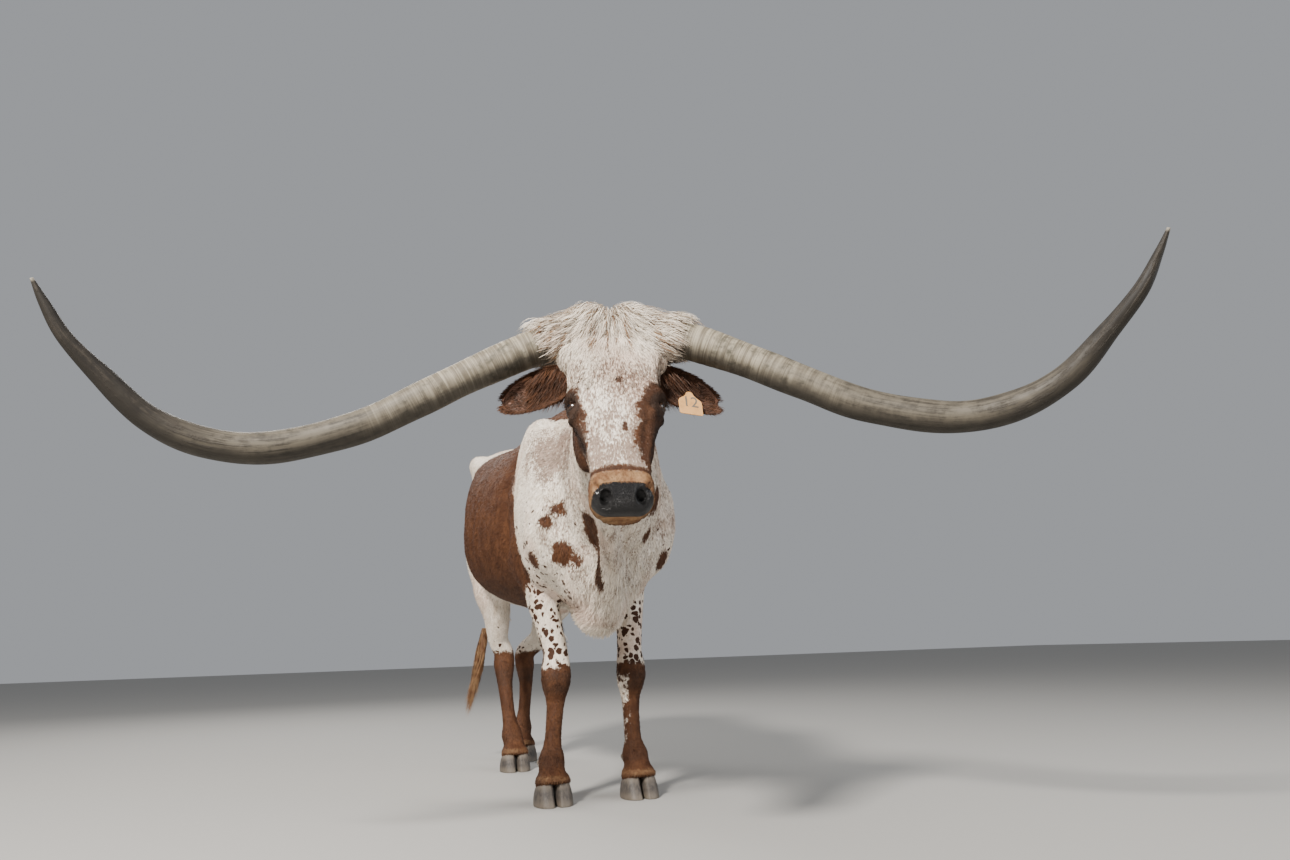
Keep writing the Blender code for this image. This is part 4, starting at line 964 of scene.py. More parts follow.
def scattered(rng, count, density):
    """Random roots over the hide: places, normals, and the marks there."""
    corners = Made.points[Made.triangles]
    area = np.linalg.norm(np.cross(corners[:, 1] - corners[:, 0], corners[:, 2] - corners[:, 0]), axis=1)
    weight = area * density[Made.triangles].mean(axis=1)
    chosen = rng.choice(len(weight), count, p=weight / weight.sum())
    first, second = rng.random(count), rng.random(count)
    over = first + second > 1
    first[over], second[over] = 1 - first[over], 1 - second[over]
    parts = np.stack([1 - first - second, first, second], axis=1)[:, :, None]
    index = Made.triangles[chosen]
    known = (Made.points, Made.normals, Made.marks, Made.places)
    blend = [(values[index] * parts).sum(axis=1) for values in known]
    blend[1] /= np.linalg.norm(blend[1], axis=1)[:, None] + 1e-9
    return blend


def ribbons(name, paths, across, width, marks, places, tints, unwrapped):
    """Flat tapered strands along paths: an array of strands by points by 3."""
    count, rows = paths.shape[:2]
    share = np.linspace(0, 1, rows)
    narrowing = 1 - (np.maximum(share - 0.35, 0) / 0.65) ** 1.7
    taper = np.where(share < 0.35, 0.75 + 0.25 * share / 0.35, narrowing)
    half = across * (width / 2)[:, None]
    side = half[:, None, :] * taper[None, :-1, None]
    left, right = paths[:, :-1] - side, paths[:, :-1] + side
    pairs = np.stack([left, right], axis=2).reshape(count, -1, 3)
    points = np.concatenate([pairs, paths[:, -1:]], axis=1)
    each = points.shape[1]
    faces = []
    for row in range(rows - 2):
        faces.append((2 * row, 2 * row + 1, 2 * row + 3, 2 * row + 2))
    faces.append((each - 3, each - 2, each - 1))
    pattern = np.array([corner for face in faces for corner in face])
    totals = np.array([len(face) for face in faces])
    loops = (pattern[None] + each * np.arange(count)[:, None]).ravel()
    lengths = np.tile(totals, count)
    mesh = bpy.data.meshes.new(name)
    mesh.vertices.add(count * each)
    mesh.vertices.foreach_set("co", points.astype(np.float32).ravel())
    mesh.loops.add(len(loops))
    mesh.loops.foreach_set("vertex_index", loops.astype(np.int32))
    mesh.polygons.add(len(lengths))
    mesh.polygons.foreach_set("loop_start", np.concatenate([[0], np.cumsum(lengths)[:-1]]).astype(np.int32))
    mesh.update(calc_edges=True)
    tip = np.append(np.repeat(share[:-1], 2), 1.0)
    strand = np.zeros((count, each, 4))
    strand[:, :, 0] = tip
    strand[:, :, 1] = tints[:, None]
    strand[:, :, 3] = 1
    set_shares(mesh, "marks", np.repeat(marks, each, axis=0))
    set_shares(mesh, "places", np.repeat(places, each, axis=0))
    set_shares(mesh, "strand", strand.reshape(-1, 4))
    patch = np.stack([np.append(np.tile([-0.0014, 0.0014], rows - 1), 0.0), (tip - 0.5) * 0.0028], axis=1)
    spread = (unwrapped[:, None] + patch[None]).reshape(-1, 2)
    mesh.uv_layers.new(name="OFBake").data.foreach_set("uv", spread[loops].astype(np.float32).ravel())
    return mesh


def round_axis(points, centre, axis, low, high):
    """An unwrap round an axis: the turn about it across, and the way along it up."""
    side, ahead = [(1, 2), (0, 2), (0, 1)][axis]
    turn = np.arctan2(points[:, side] - centre[side], points[:, ahead] - centre[ahead]) / (2 * math.pi) + 0.5
    along = (points[:, axis] - low) / (high - low)
    return np.stack([0.004 + 0.992 * turn, 0.004 + 0.992 * np.clip(along, 0, 1)], axis=1)


def tilted(rng, across, normals, spread):
    """The ways that strands face, each leant by a random angle."""
    tilt = rng.normal(0, spread, len(across))[:, None]
    return across * np.cos(tilt) + normals * np.sin(tilt)


def even(value):
    """A function that gives the same value at every point."""
    return lambda points: np.full(len(points), value)


def coat_piece(name, rng, count, density, length, width, lift, unwrap):
    """Short tufts that lie along the body over part of the hide."""
    points, normals, marks, places = scattered(rng, count, density)
    way = lie_of_coat(points) + rng.normal(0, 0.16, (count, 3))
    way -= normals * (way * normals).sum(axis=1)[:, None]
    way /= np.linalg.norm(way, axis=1)[:, None] + 1e-9
    across = tilted(rng, np.cross(way, normals), normals, 0.35)
    reach = (length(points) * rng.uniform(0.6, 1.25, count))[:, None]
    rises = (lift(points) * rng.uniform(0.3, 1.5, count))[:, None] * reach
    sunk = points - normals * 0.0012
    half_way = points + way * reach * 0.5 + normals * rises * 0.75
    paths = np.stack([sunk, half_way, points + way * reach + normals * rises], axis=1)
    widths = width * rng.uniform(0.7, 1.3, count)
    mesh = ribbons(name, paths, across, widths, marks, places, rng.random(count), unwrap(points))
    return finished(name, mesh, bpy.data.materials.get("coat") or hide_finish("coat", True), ())


class LONGHORN_OT_coat(bpy.types.Operator):
    """The short coat, in tufts that follow the lie of the hair"""

    bl_idname = "longhorn.coat"
    bl_label = "Coat"

    def execute(self, context):
        rng = np.random.default_rng(5)
        p, h = body_places(Made.points)
        share = regions(Made.points)
        bare = 1 - np.clip(Made.places[:, 0] * 1.5, 0, 1)
        hidden = 1 - rise(h[:, 2], -0.02, 0.03) * share["head"]
        socket = rise(np.linalg.norm(mirrored(h) - np.array(EYE_PLACE), axis=1), 0.024, 0.034)
        keep = bare * socket
        count = sizes().tufts // 1
        longest, widest = sizes().tuft_length, sizes().tuft_width
        front, back = Made.points[:, 1].min(), Made.points[:, 1].max()
        spine = (SHIFT.x, 0, 1.05)

        def underside(points):
            q, _ = body_places(points)
            return rise(0.95 - q[:, 2], 0, 0.3) * rise(0.16 - np.abs(q[:, 0]), 0, 0.08)

        def body_length(points):
            return longest * (1 + 0.7 * underside(points))

        def body_lift(points):
            return 0.13 + 0.20 * underside(points)

        def along_body(points):
            return round_axis(points, spine, 1, front, back)

        def along_legs(points):
            q, _ = body_places(points)
            left = q[:, 0] > 0
            local = q - np.where(left[:, None], np.median(q[left], axis=0), np.median(q[~left], axis=0))
            flat = round_axis(local, (0, 0, 0), 2, local[:, 2].min(), local[:, 2].max())
            flat[:, 0] = flat[:, 0] * 0.49 + np.where(left, 0.505, 0.0)
            return flat

        def face_length(points):
            _, g = body_places(points)
            return longest * (0.42 + 0.55 * rise(g[:, 2], -0.22, -0.06) + 0.35 * rise(g[:, 1], 0.06, 0.14))

        def along_head(points):
            _, g = body_places(points)
            return round_axis(g, (0, 0.03, 0), 2, -0.62, 0.10)

        trunk = share["trunk"] + share["tail"] * 0.6
        body = {
            "coat_shoulder": trunk * (p[:, 1] < SHOULDER_TO_BARREL),
            "coat_barrel": trunk * (p[:, 1] >= SHOULDER_TO_BARREL) * (p[:, 1] < BARREL_TO_RUMP),
            "coat_rump": trunk * (p[:, 1] >= BARREL_TO_RUMP),
            "coat_neck": share["neck"] * (1 - share["head"]),
        }
        for name, density in body.items():
            coat_piece(name, rng, count, density, body_length, widest, body_lift, along_body)
        leg_length, on_legs = even(longest * 0.62), int(count * 0.8)
        for name, fore in (("coat_forelegs", True), ("coat_hindlegs", False)):
            density = share["legs"] * ((p[:, 1] < 0.6) == fore) * rise(p[:, 2], 0.064, 0.074)
            coat_piece(name, rng, on_legs, density, leg_length, widest * 0.75, even(0.14), along_legs)
        on_head = share["head"] * keep * hidden
        coat_piece("coat_head", rng, count, on_head, face_length, widest * 0.55, even(0.16), along_head)
        return {"FINISHED"}


def combed(points, normals, ways, lengths, lifts, rows, rng, sag):
    """Paths of long strands that follow the hide and the horns at a rising height."""
    count = len(points)
    paths = np.zeros((count, rows, 3))
    for index in range(count):
        place, normal, way = Vector(points[index]), Vector(normals[index]), Vector(ways[index])
        paths[index, 0] = place - normal * 0.003
        step = lengths[index] / (rows - 1)
        for row in range(1, rows):
            share = row / (rows - 1)
            place = place + (way + normal * 0.5 * (1 - share)) * step
            place.z -= sag * step * share
            hit, out, _, gap = Made.tree.find_nearest(place)
            if gap < 0.06:
                height = lifts[index] * math.sin(math.pi * min(1.0, 0.15 + 0.72 * share))
                if (place - hit).dot(out) < 0:
                    gap = -gap
                place += out * (height - gap) * (1.0 if gap < height else 0.4)
                way = (way - out * way.dot(out) * 0.8).normalized()
            paths[index, row] = place
    paths[:, 1:] += rng.normal(0, 0.0009, (count, rows - 1, 3))
    return paths


def clumped(paths, rng, guides, pull):
    """Draws each strand towards the nearest of some guide strands, more so near its tip."""
    chosen = rng.choice(len(paths), guides, replace=False)
    near_guide = np.empty(len(paths), int)
    for start in range(0, len(paths), 2000):
        gaps = np.linalg.norm(paths[start : start + 2000, None, 0] - paths[None, chosen, 0], axis=2)
        near_guide[start : start + 2000] = chosen[gaps.argmin(axis=1)]
    share = np.linspace(0, 1, paths.shape[1]) ** 1.3
    shape = paths[near_guide] - paths[near_guide][:, :1] + paths[:, :1]
    toward = paths[near_guide] * 0.75 + shape * 0.25
    return paths + (toward - paths) * (share * pull)[None, :, None]


class LONGHORN_OT_poll(bpy.types.Operator):
    """Long hair that parts at the whorl and lies over the brow and the roots of the horns"""

    bl_idname = "longhorn.poll"
    bl_label = "Poll Hair"

    def execute(self, context):
        rng = np.random.default_rng(8)
        _, h = body_places(Made.points)
        right_edge, left_edge = blaze_edges(h)
        white = np.minimum(h[:, 0] - right_edge, left_edge - h[:, 0])
        crown = rise(h[:, 2], -0.060, -0.020) * 0.85
        brow = rise(white, -0.012, 0.004) * rise(h[:, 2], -0.245, -0.120) * (h[:, 1] < 0.03)
        clear = rise(np.linalg.norm(mirrored(h) - np.array(EYE_PLACE), axis=1), 0.060, 0.080)
        roots = regions(Made.points)["head"] * np.maximum(crown, brow) * (h[:, 2] > -0.235) * clear
        count = sizes().poll_strands // 1
        points, normals, marks, places = scattered(rng, count, roots)
        ways = lie_of_coat(points) + rng.normal(0, 0.13, (count, 3))
        ways -= normals * (ways * normals).sum(axis=1)[:, None]
        ways /= np.linalg.norm(ways, axis=1)[:, None]
        _, g = body_places(points)
        out = np.abs(g[:, 0])
        top = rise(g[:, 2], -0.03, 0.06)
        lengths = 0.020 + 0.022 * rise(g[:, 2], -0.20, -0.02) + 0.040 * top + 0.018 * rise(out, 0.05, 0.15)
        lengths -= 0.014 * rise(-g[:, 0], 0.110, 0.150)
        lengths *= rng.uniform(0.55, 1.2, count)
        dome = top * (1 - rise(out, 0.045, 0.130)) * rise(np.abs(g[:, 0] - WHORL[0]), -0.004, 0.014)
        lifts = 0.005 * rise(g[:, 2], -0.15, -0.02) + 0.024 * top + 0.020 * dome
        lifts = 0.003 + (lifts + 0.010 * rise(out, 0.08, 0.16)) * rng.random(count)
        paths = combed(points, normals, ways, lengths, lifts, POLL_HAIR_POINTS, rng, 0.15)
        paths = clumped(paths, rng, count // HAIRS_PER_LOCK, 0.50)
        across = tilted(rng, np.cross(ways, normals), normals, 0.5)
        marks = marks.copy()
        marks[:, 0] *= (out < 0.05) * (g[:, 2] < -0.13)
        marks[:, 1] = 0.0
        marks[:, 2] *= rise(-g[:, 2], 0.02, 0.12)
        marks[:, 3] *= g[:, 2] < -0.13
        marks[:, 3] = np.maximum(marks[:, 3], 0.85 * rise(-g[:, 2], 0.035, 0.075) * rise(out, 0.135, 0.155))
        whorl = near(g, np.array(WHORL), (0.045, 0.06, 0.05))
        fan = np.arctan2(g[:, 0] - WHORL[0], 0.16 - g[:, 2])
        locks = rise(np.sin(fan * 34 + 3 * np.sin(fan * 9) + 25 * g[:, 1]), 0.1, 0.9)
        buff = np.maximum(0.72 * whorl, (0.32 + 0.60 * locks) * rise(g[:, 2], -0.16, -0.02))
        places[:, 1] = buff * rng.random(count) ** 0.7
        unwrapped = round_axis(g, (0, 0.03, 0), 2, -0.26, 0.12)
        width = rng.uniform(0.0010, 0.0023, count)
        mesh = ribbons("poll_hair", paths, across, width, marks, places, rng.random(count), unwrapped)
        finished("poll_hair", mesh, bpy.data.materials.get("coat"), ("poll",))
        return {"FINISHED"}


def horn_finish():
    """Horn: cream with fine rings at its root, mottled grey in the middle, dark and flaking near the tip, and
    darker underneath, partly its own colour and partly painted shade.
    """
    finish = Finish("horn", 0.45)
    share, underside_shade, _, _ = finish.attribute("growth")
    round_it = finish.node("ShaderNodeAttribute", {"attribute_name": "turned"}, None, "Vector")
    rings = finish.noise(finish.scaled(round_it, (5, 5, 230)), 1.0, 2.0)
    wide_rings = finish.noise(finish.scaled(round_it, (4, 4, 60)), 1.0, 2.0)
    streaks = finish.noise(finish.scaled(round_it, (120, 120, 7)), 1.0, 4.0, 0.65)
    mottle = finish.noise(finish.where, 34.0, 4.0, 0.65)
    cloud = finish.noise(finish.where, 9.0, 3.0, 0.6)
    pale_ring, stain = (0.140, 0.116, 0.082, 1), (0.070, 0.062, 0.042, 1)
    grey, furrow = (0.112, 0.096, 0.071, 1), (0.030, 0.025, 0.018, 1)
    # The middle colour of these three darkens the underside: partly the horn's own colour, partly painted shade
    # under the horn.
    flaky, shade, worn = (0.043, 0.035, 0.026, 1), (0.024, 0.020, 0.015, 1), (0.40, 0.36, 0.29, 1)
    base = finish.layered(
        colour("ivory"),
        ((rings * 0.6 + wide_rings * 0.6).step(0.45, 0.72), pale_ring),
        ((mottle * 0.7 + cloud * 0.4).step(0.52, 0.72) * share.step(0.05, 0.20), stain),
    )
    middle_part = finish.mix((streaks * 0.7 + mottle * 0.5).step(0.48, 0.78), grey, furrow)
    tip = finish.mix((streaks * 0.8 + mottle * 0.4).step(0.50, 0.80), colour("horn_dark"), flaky)
    tipward = share + (cloud - 0.5) * 0.30 + (streaks - 0.5) * 0.25
    mixed = finish.layered(
        base,
        ((share + (cloud - 0.5) * 0.25).step(0.18, 0.46), middle_part),
        (tipward.step(0.50, 0.74), tip),
        # Darker where the horn faces down: partly its own colour, partly painted shade.
        ((underside_shade + (cloud - 0.5) * 0.5).step(0.10, 0.75) * 0.80, shade),
        (share.step(0.980, 0.995) * 0.6, worn),
    )
    finish.feed("Base Color", mixed)
    finish.feed("Roughness", 0.46 + mottle * 0.25)
    finish.feed("Specular IOR Level", 0.30)
    root = 1 - share.step(0.10, 0.34)
    flakes = (streaks * 0.7 + mottle * 0.3).step(0.50, 0.60)
    finish.bump(rings * root * 0.8 + streaks * 0.5 + flakes * share.step(0.40, 0.62) * 0.8, 0.55, 0.0016)
    return finish.material


class LONGHORN_OT_horns(bpy.types.Operator):
    """Two long horns with growth rings at their roots"""

    bl_idname = "longhorn.horns"
    bl_label = "Horns"

    def execute(self, context):
        material = horn_finish()
        shells = []
        turns = [2 * math.pi * step / HORN_SIDES for step in range(HORN_SIDES)]
        for side, sign in SIDES:
            line = horn_line(sign)
            bm = bmesh.new()
            growth, turned, rings = [], [], []
            travelled = 0.0
            for index, (centre, radius) in enumerate(line):
                tangent = (line[min(index + 1, len(line) - 1)][0] - line[max(index - 1, 0)][0]).normalized()
                travelled += (centre - line[max(index - 1, 0)][0]).length
                share = index / (len(line) - 1)
                base = max(0.0, 1 - share / 0.30)
                waves = math.sin(travelled * 420) + math.sin(travelled * 187 + 1.0)
                radius += sizes().ring_depth * base * waves
                radius += 0.0007 * math.sin(travelled * 31 + sign)
                across = tangent.cross(Vector((0, 0, 1))).normalized()
                up = tangent.cross(across)
                rings.append([])
                for turn in turns:
                    flat = (math.cos(turn) * radius, math.sin(turn) * radius)
                    out = across * flat[0] + up * flat[1]
                    rings[-1].append(bm.verts.new(centre + out))
                    # The second number is how far the surface faces down, for the painted shade under the horn.
                    growth.append((share, max(0.0, -out.normalized().z), 0, 1))
                    turned.append((*flat, travelled))
            for lower, upper in zip(rings, rings[1:]):
                for corners in zip(lower, lower[1:] + lower[:1], upper[1:] + upper[:1], upper):
                    bm.faces.new(corners)
            bm.faces.new(rings[0])
            bm.faces.new(rings[-1])
            mesh = mesh_of(bm, f"horn_{side}_shell")
            set_shares(mesh, "growth", np.array(growth))
            layer = mesh.attributes.new("turned", "FLOAT_VECTOR", "POINT")
            layer.data.foreach_set("vector", np.array(turned, np.float32).ravel())
            finished(f"horn_{side}_shell", mesh, material, (f"horn_{side}",))
            shells.append(mesh)
        Made.tree = tree_of(Made.points, Made.triangles, shells)
        return {"FINISHED"}


def ear_point(sign, u, v, lift):
    """A point on an ear: u runs from root to tip, v across it, lift out of its back."""
    if u < EAR_BROADEST:
        width = EAR_WIDTH * (0.40 + 0.60 * math.sin(math.pi / 2 * u / EAR_BROADEST))
    else:
        width = EAR_WIDTH * (1 - 0.985 * ((u - EAR_BROADEST) / (1 - EAR_BROADEST)) ** 2.4) ** 0.5
    cup = (0.048 if v > 0 else 0.024) * (1 - 0.75 * u)
    out = EAR_LENGTH * u
    x = EAR_ROOT.x + out
    y = EAR_ROOT.y + EAR_SWEEP * out - cup * v * v + lift
    z = EAR_ROOT.z - 0.08 * out - 0.08 * out * u + width * v / 2
    return Vector((sign * x, y, z))


def ear_finish():
    """The ear's leaf: red-brown hair outside, darker with pink skin inside."""
    finish = Finish("ear", 0.75)
    inside, rim, _, _ = finish.attribute("leaf")
    hairs = finish.noise(finish.scaled(finish.where, (60, 60, 220)), 1.0, 3.0)
    blotch = finish.noise(finish.where, 30.0, 3.0)
    outer = finish.mix((hairs * 0.6 + blotch * 0.5).step(0.40, 0.70), colour("red"), (0.12, 0.045, 0.020, 1))
    inner = finish.mix(blotch.step(0.40, 0.68), (0.16, 0.075, 0.048, 1), colour("dark"))
    finish.feed("Base Color", finish.mix(inside * (1 - rim * 0.7), outer, inner))
    finish.bump(hairs, 0.5, 0.0012)
    return finish.material


def strand_marks(count, border, dark):
    """Marks and places for hair that doesn't grow on the hide."""
    marks = np.zeros((count, 4))
    marks[:, 0], marks[:, 3] = border, dark
    return marks, np.tile([0.0, 0.0, 1.0, 0.0], (count, 1))


class LONGHORN_OT_ears(bpy.types.Operator):
    """Ears with thick rims, long hair across their cups and a fringe"""

    bl_idname = "longhorn.ears"
    bl_label = "Ears"

    def execute(self, context):
        rng = np.random.default_rng(21)
        material = ear_finish()
        turn = np.array(HEAD)[:3, :3]
        for side, sign in SIDES:
            bm = bmesh.new()
            along, over = 34, 20
            bmesh.ops.create_grid(bm, x_segments=along, y_segments=over, size=1)
            leaf = []
            for vert in bm.verts:
                u, v = 1 - (1 - (vert.co.x + 1) / 2) ** 1.5, vert.co.y
                leaf.append((u, v))
                vert.co = HEAD @ ear_point(sign, u, v, 0)
            layer = bm.verts.layers.float_vector.new("uv_place")
            for vert, (u, v) in zip(bm.verts, leaf):
                vert[layer] = (u, v, 0)
            mesh = mesh_of(bm, f"ear_{side}_leaf")
            obj = finished(f"ear_{side}_leaf", mesh, material, (f"ear_{side}",))
            solid = obj.modifiers.new("Wall", "SOLIDIFY")
            solid.thickness = 0.006
            solid.offset = 0
            bevel = obj.modifiers.new("Rim", "BEVEL")
            bevel.width = 0.0026
            bevel.segments = 3
            apply_modifiers(obj)
            points = points_of(obj.data)
            normals = points_of(obj.data, True)
            front = -(normals @ turn[:, 1])
            place = np.empty(len(points) * 3)
            obj.data.attributes["uv_place"].data.foreach_get("vector", place)
            place = place.reshape(-1, 3)
            rim = rise(np.abs(place[:, 1]), 0.75, 0.98)
            set_shares(obj.data, "leaf", np.stack([rise(front, -0.2, 0.2), rim, rim, rim * 0 + 1], axis=1))
            obj.data.shade_smooth()
            self.hair(f"ear_{side}_hair", sign, rng)
        return {"FINISHED"}

    def hair(self, name, sign, rng):
        """Long strands from the ear's root and front, a fringe round its rim and short hair on its back."""
        strands = []
        thin = 1
        for _ in range(EAR_CUP_HAIRS // thin):
            u, v = rng.uniform(-0.02, 0.60), rng.uniform(-0.5, 0.95)
            way = (sign * (0.35 + 0.5 * u), -0.16, -1.0 + 0.5 * u)
            length = rng.uniform(0.030, 0.070) * (1 - 0.4 * u)
            strands.append((ear_point(sign, u, v, -0.003), way, length, rng.uniform(0.1, 0.62)))
        for _ in range(EAR_RIM_HAIRS // thin):
            u, v = rng.uniform(0.02, 1.0), (1 if rng.random() < 0.5 else -1) * rng.uniform(0.86, 1.0)
            root = ear_point(sign, u, v, rng.uniform(-0.003, 0.003))
            way = (sign * 1.0, -0.15, (0.20 if v > 0 else -0.55) * (1 - 0.5 * u))
            strands.append((root, way, rng.uniform(0.010, 0.022), rng.uniform(0.0, 0.6)))
        for _ in range(EAR_SHORT_HAIRS // thin):
            u, v = rng.uniform(0.0, 0.98), rng.uniform(-0.97, 0.97)
            back = rng.random() < 0.6
            root = ear_point(sign, u, v, 0.003 if back else -0.003)
            way = (sign * 1.0, 0.10 if back else -0.12, -0.15 * v)
            length = rng.uniform(0.007, 0.013)
            strands.append((root, way, length, rng.uniform(0.0, 0.4) if back else rng.uniform(0.15, 0.60)))
        roots, ways, lengths, dark = (np.array(part) for part in zip(*strands))
        count = len(strands)
        roots = carried(roots, HEAD)
        ways = ways + rng.normal(0, 0.10, (count, 3))
        ways = (ways / np.linalg.norm(ways, axis=1)[:, None]) @ np.array(HEAD)[:3, :3].T
        reach = lengths[:, None]
        bend = np.array([0, 0, -1.0])
        shares = (0, 0.35, 0.7, 1.0)
        paths = np.stack([roots + ways * reach * t + bend * reach * 0.22 * t * t for t in shares], axis=1)
        across = np.cross(ways, np.array(HEAD)[:3, 1]) + rng.normal(0, 0.25, (count, 3))
        across /= np.linalg.norm(across, axis=1)[:, None]
        marks, places = strand_marks(count, 0.9, dark)
        _, g = body_places(roots)
        low, high = sorted((sign * 0.08, sign * 0.34))
        unwrapped = round_axis(g, (sign * 0.10, 0.05, -0.14), 0, low, high)
        widths = rng.uniform(0.0010, 0.0022, count)
        mesh = ribbons(name, paths, across, widths, marks, places, rng.random(count), unwrapped)
        finished(name, mesh, bpy.data.materials.get("coat"), ())


def eye_finish():
    """A wet eye: dark iris, level pupil and a thin rim of white."""
    finish = Finish("eye", 0.20)
    turn, pupil, _, _ = finish.attribute("gaze")
    rays = finish.noise(finish.where, 420.0, 2.0)
    iris = finish.mix(rays.step(0.35, 0.65), (0.014, 0.0065, 0.0035, 1), (0.036, 0.017, 0.008, 1))
    white = finish.mix(rays.step(0.40, 0.70), (0.095, 0.066, 0.052, 1), (0.050, 0.028, 0.020, 1))
    mixed = finish.mix(turn.step(0.86, 1.00), iris, white)
    finish.feed("Base Color", finish.mix(pupil, mixed, (0.003, 0.003, 0.004, 1)))
    finish.feed("Coat Weight", 0.25)
    finish.feed("Coat Roughness", 0.10)
    return finish.material


def lid_finish():
    """Bare dark lid edges with fine folds."""
    finish = Finish("lid", 0.5)
    folds = finish.noise(finish.where, 300.0, 3.0)
    bare, ridged = (0.020, 0.012, 0.009, 1), (0.070, 0.036, 0.022, 1)
    finish.feed("Base Color", finish.mix(folds.step(0.3, 0.7), bare, ridged))
    finish.bump(folds, 0.5, 0.0008)
    return finish.material


class LONGHORN_OT_eyes(bpy.types.Operator):
    """Wet eyes under heavy lids with lashes"""

    bl_idname = "longhorn.eyes"
    bl_label = "Eyes"

    def execute(self, context):
        material, rims = eye_finish(), lid_finish()
        rng = np.random.default_rng(3)
        for side, sign in SIDES:
            look = Vector((sign * 0.80, -0.60, 0.0)).normalized()
            across = Vector((0, 0, 1)).cross(look).normalized()
            up = look.cross(across)
            centre = Vector((sign * EYE_PLACE.x, EYE_PLACE.y, EYE_PLACE.z))
            bm = bmesh.new()
            bmesh.ops.create_uvsphere(bm, u_segments=48, v_segments=32, radius=EYE_RADIUS)
            gaze = []
            for vert in bm.verts:
                out = vert.co.normalized()
                angle = math.acos(max(-1.0, min(1.0, out.dot(look))))
                vert.co *= 1 + 0.05 * math.exp(-((angle / 0.5) ** 2))
                wide, tall = out.dot(across) / 0.34, out.dot(up) / 0.20
                gaze.append((angle, 1.0 if wide * wide + tall * tall < 1 and angle < 1 else 0.0, 0, 1))
            bmesh.ops.transform(bm, matrix=HEAD @ Matrix.Translation(centre), verts=bm.verts)
            mesh = mesh_of(bm, f"eyeball_{side}")
            set_shares(mesh, "gaze", np.array(gaze))
            finished(f"eyeball_{side}", mesh, material, (f"eye_{side}",))
            self.lids(f"lids_{side}", centre, look, across, up, rims)
            self.lashes(f"lashes_{side}", centre, look, across, up, rims, rng)
        return {"FINISHED"}

    def opening(self, centre, look, across, up, turn, spread=1.0):
        """A point on the edge of the lids: level at the corners, higher over the eye."""
        wide, tall = math.cos(turn), math.sin(turn)
        half_open = 0.0105 if tall > 0 else 0.0085
        place = across * wide * 0.0195 * spread + up * tall * half_open * spread
        reach = math.sqrt(max(0.0, (EYE_RADIUS + 0.0012) ** 2 - min(place.length_squared, EYE_RADIUS**2)))
        return centre + place + look * reach

    def lids(self, name, centre, look, across, up, material):
        """Rolled edges round the eye that fade back into the brow and the cheek."""
        bm = bmesh.new()
        loops = []
        spreads = (0.97, 1.0, 1.13, 1.32, 1.62, 1.95)
        backs = (0.0015, -0.0018, -0.0026, -0.0016, 0.0035, 0.0100)
        for spread, back in zip(spreads, backs):
            ring = []
            for index in range(LID_POINTS):
                turn = 2 * math.pi * index / LID_POINTS
                point = self.opening(centre, look, across, up, turn, spread) - look * back
                ring.append(bm.verts.new(HEAD @ point))
            loops.append([bm.edges.new((a, b)) for a, b in zip(ring, ring[1:] + ring[:1])])
        for inner, outer in zip(loops, loops[1:]):
            bmesh.ops.bridge_loops(bm, edges=inner + outer)
        mesh = mesh_of(bm, name)
        rounded(finished(name, mesh, material, ()))

    def lashes(self, name, centre, look, across, up, material, rng):
        """Short dark lashes along the upper lid, fewer along the lower."""
        upper = rng.uniform(0.15, math.pi - 0.15, UPPER_LASHES)
        turns = np.concatenate([upper, rng.uniform(math.pi + 0.4, 2 * math.pi - 0.4, LOWER_LASHES)])
        count = len(turns)
        edge = [self.opening(centre, look, across, up, turn, 1.02) for turn in turns]
        roots = np.array([place + look * 0.001 for place in edge])
        lifts = [0.25 if math.sin(turn) > 0 else -0.5 for turn in turns]
        away = [look * 0.75 + up * lift + across * math.cos(turn) * 0.5 for turn, lift in zip(turns, lifts)]
        away = np.array(away) + rng.normal(0, 0.08, (count, 3))
        reach = np.where(np.sin(turns) > 0, 0.016, 0.007)[:, None]
        drop = np.array([0, 0, -0.35])
        paths = np.stack([roots + away * reach * t + drop * reach * t for t in (0, 0.4, 0.8, 1.0)], axis=1)
        paths = carried(paths.reshape(-1, 3), HEAD).reshape(count, 4, 3)
        marks, places = strand_marks(count, 0.9, 1.0)
        unwrapped = np.stack([0.1 + 0.8 * turns / (2 * math.pi), np.full(count, 0.5)], axis=1)
        sideways = np.tile(np.array(HEAD.to_3x3() @ across), (count, 1))
        width = np.full(count, 0.0007)
        mesh = ribbons(name, paths, sideways, width, marks, places, rng.random(count), unwrapped)
        finished(name, mesh, material, ())


def claw_finish():
    """Grey claws with level ridges, a pale top and worn edges."""
    finish = Finish("claw", 0.55)
    place = finish.node("ShaderNodeSeparateXYZ", None, {0: finish.where}, 2)
    ridges = finish.noise(finish.scaled(finish.where, (6, 6, 260)), 1.0, 2.0)
    grain = finish.noise(finish.scaled(finish.where, (150, 150, 18)), 1.0, 3.0)
    dust = finish.noise(finish.where, 40.0, 4.0, 0.65)
    streaked, chalk, worn = (0.036, 0.030, 0.026, 1), (0.150, 0.122, 0.094, 1), (0.145, 0.118, 0.088, 1)
    base = finish.layered(
        colour("claw"),
        ((grain * 0.6 + dust * 0.5).step(0.42, 0.70), streaked),
        ((place + (dust - 0.5) * 0.03).step(0.045, 0.072), chalk),
        ((0.030 - place + (dust - 0.5) * 0.03).step(0.0, 0.022) * 0.65, worn),
    )
    finish.feed("Base Color", base)
    finish.feed("Roughness", 0.45 + dust * 0.35)
    finish.bump(ridges * 0.7 + grain * 0.4, 0.5, 0.0014)
    return finish.material


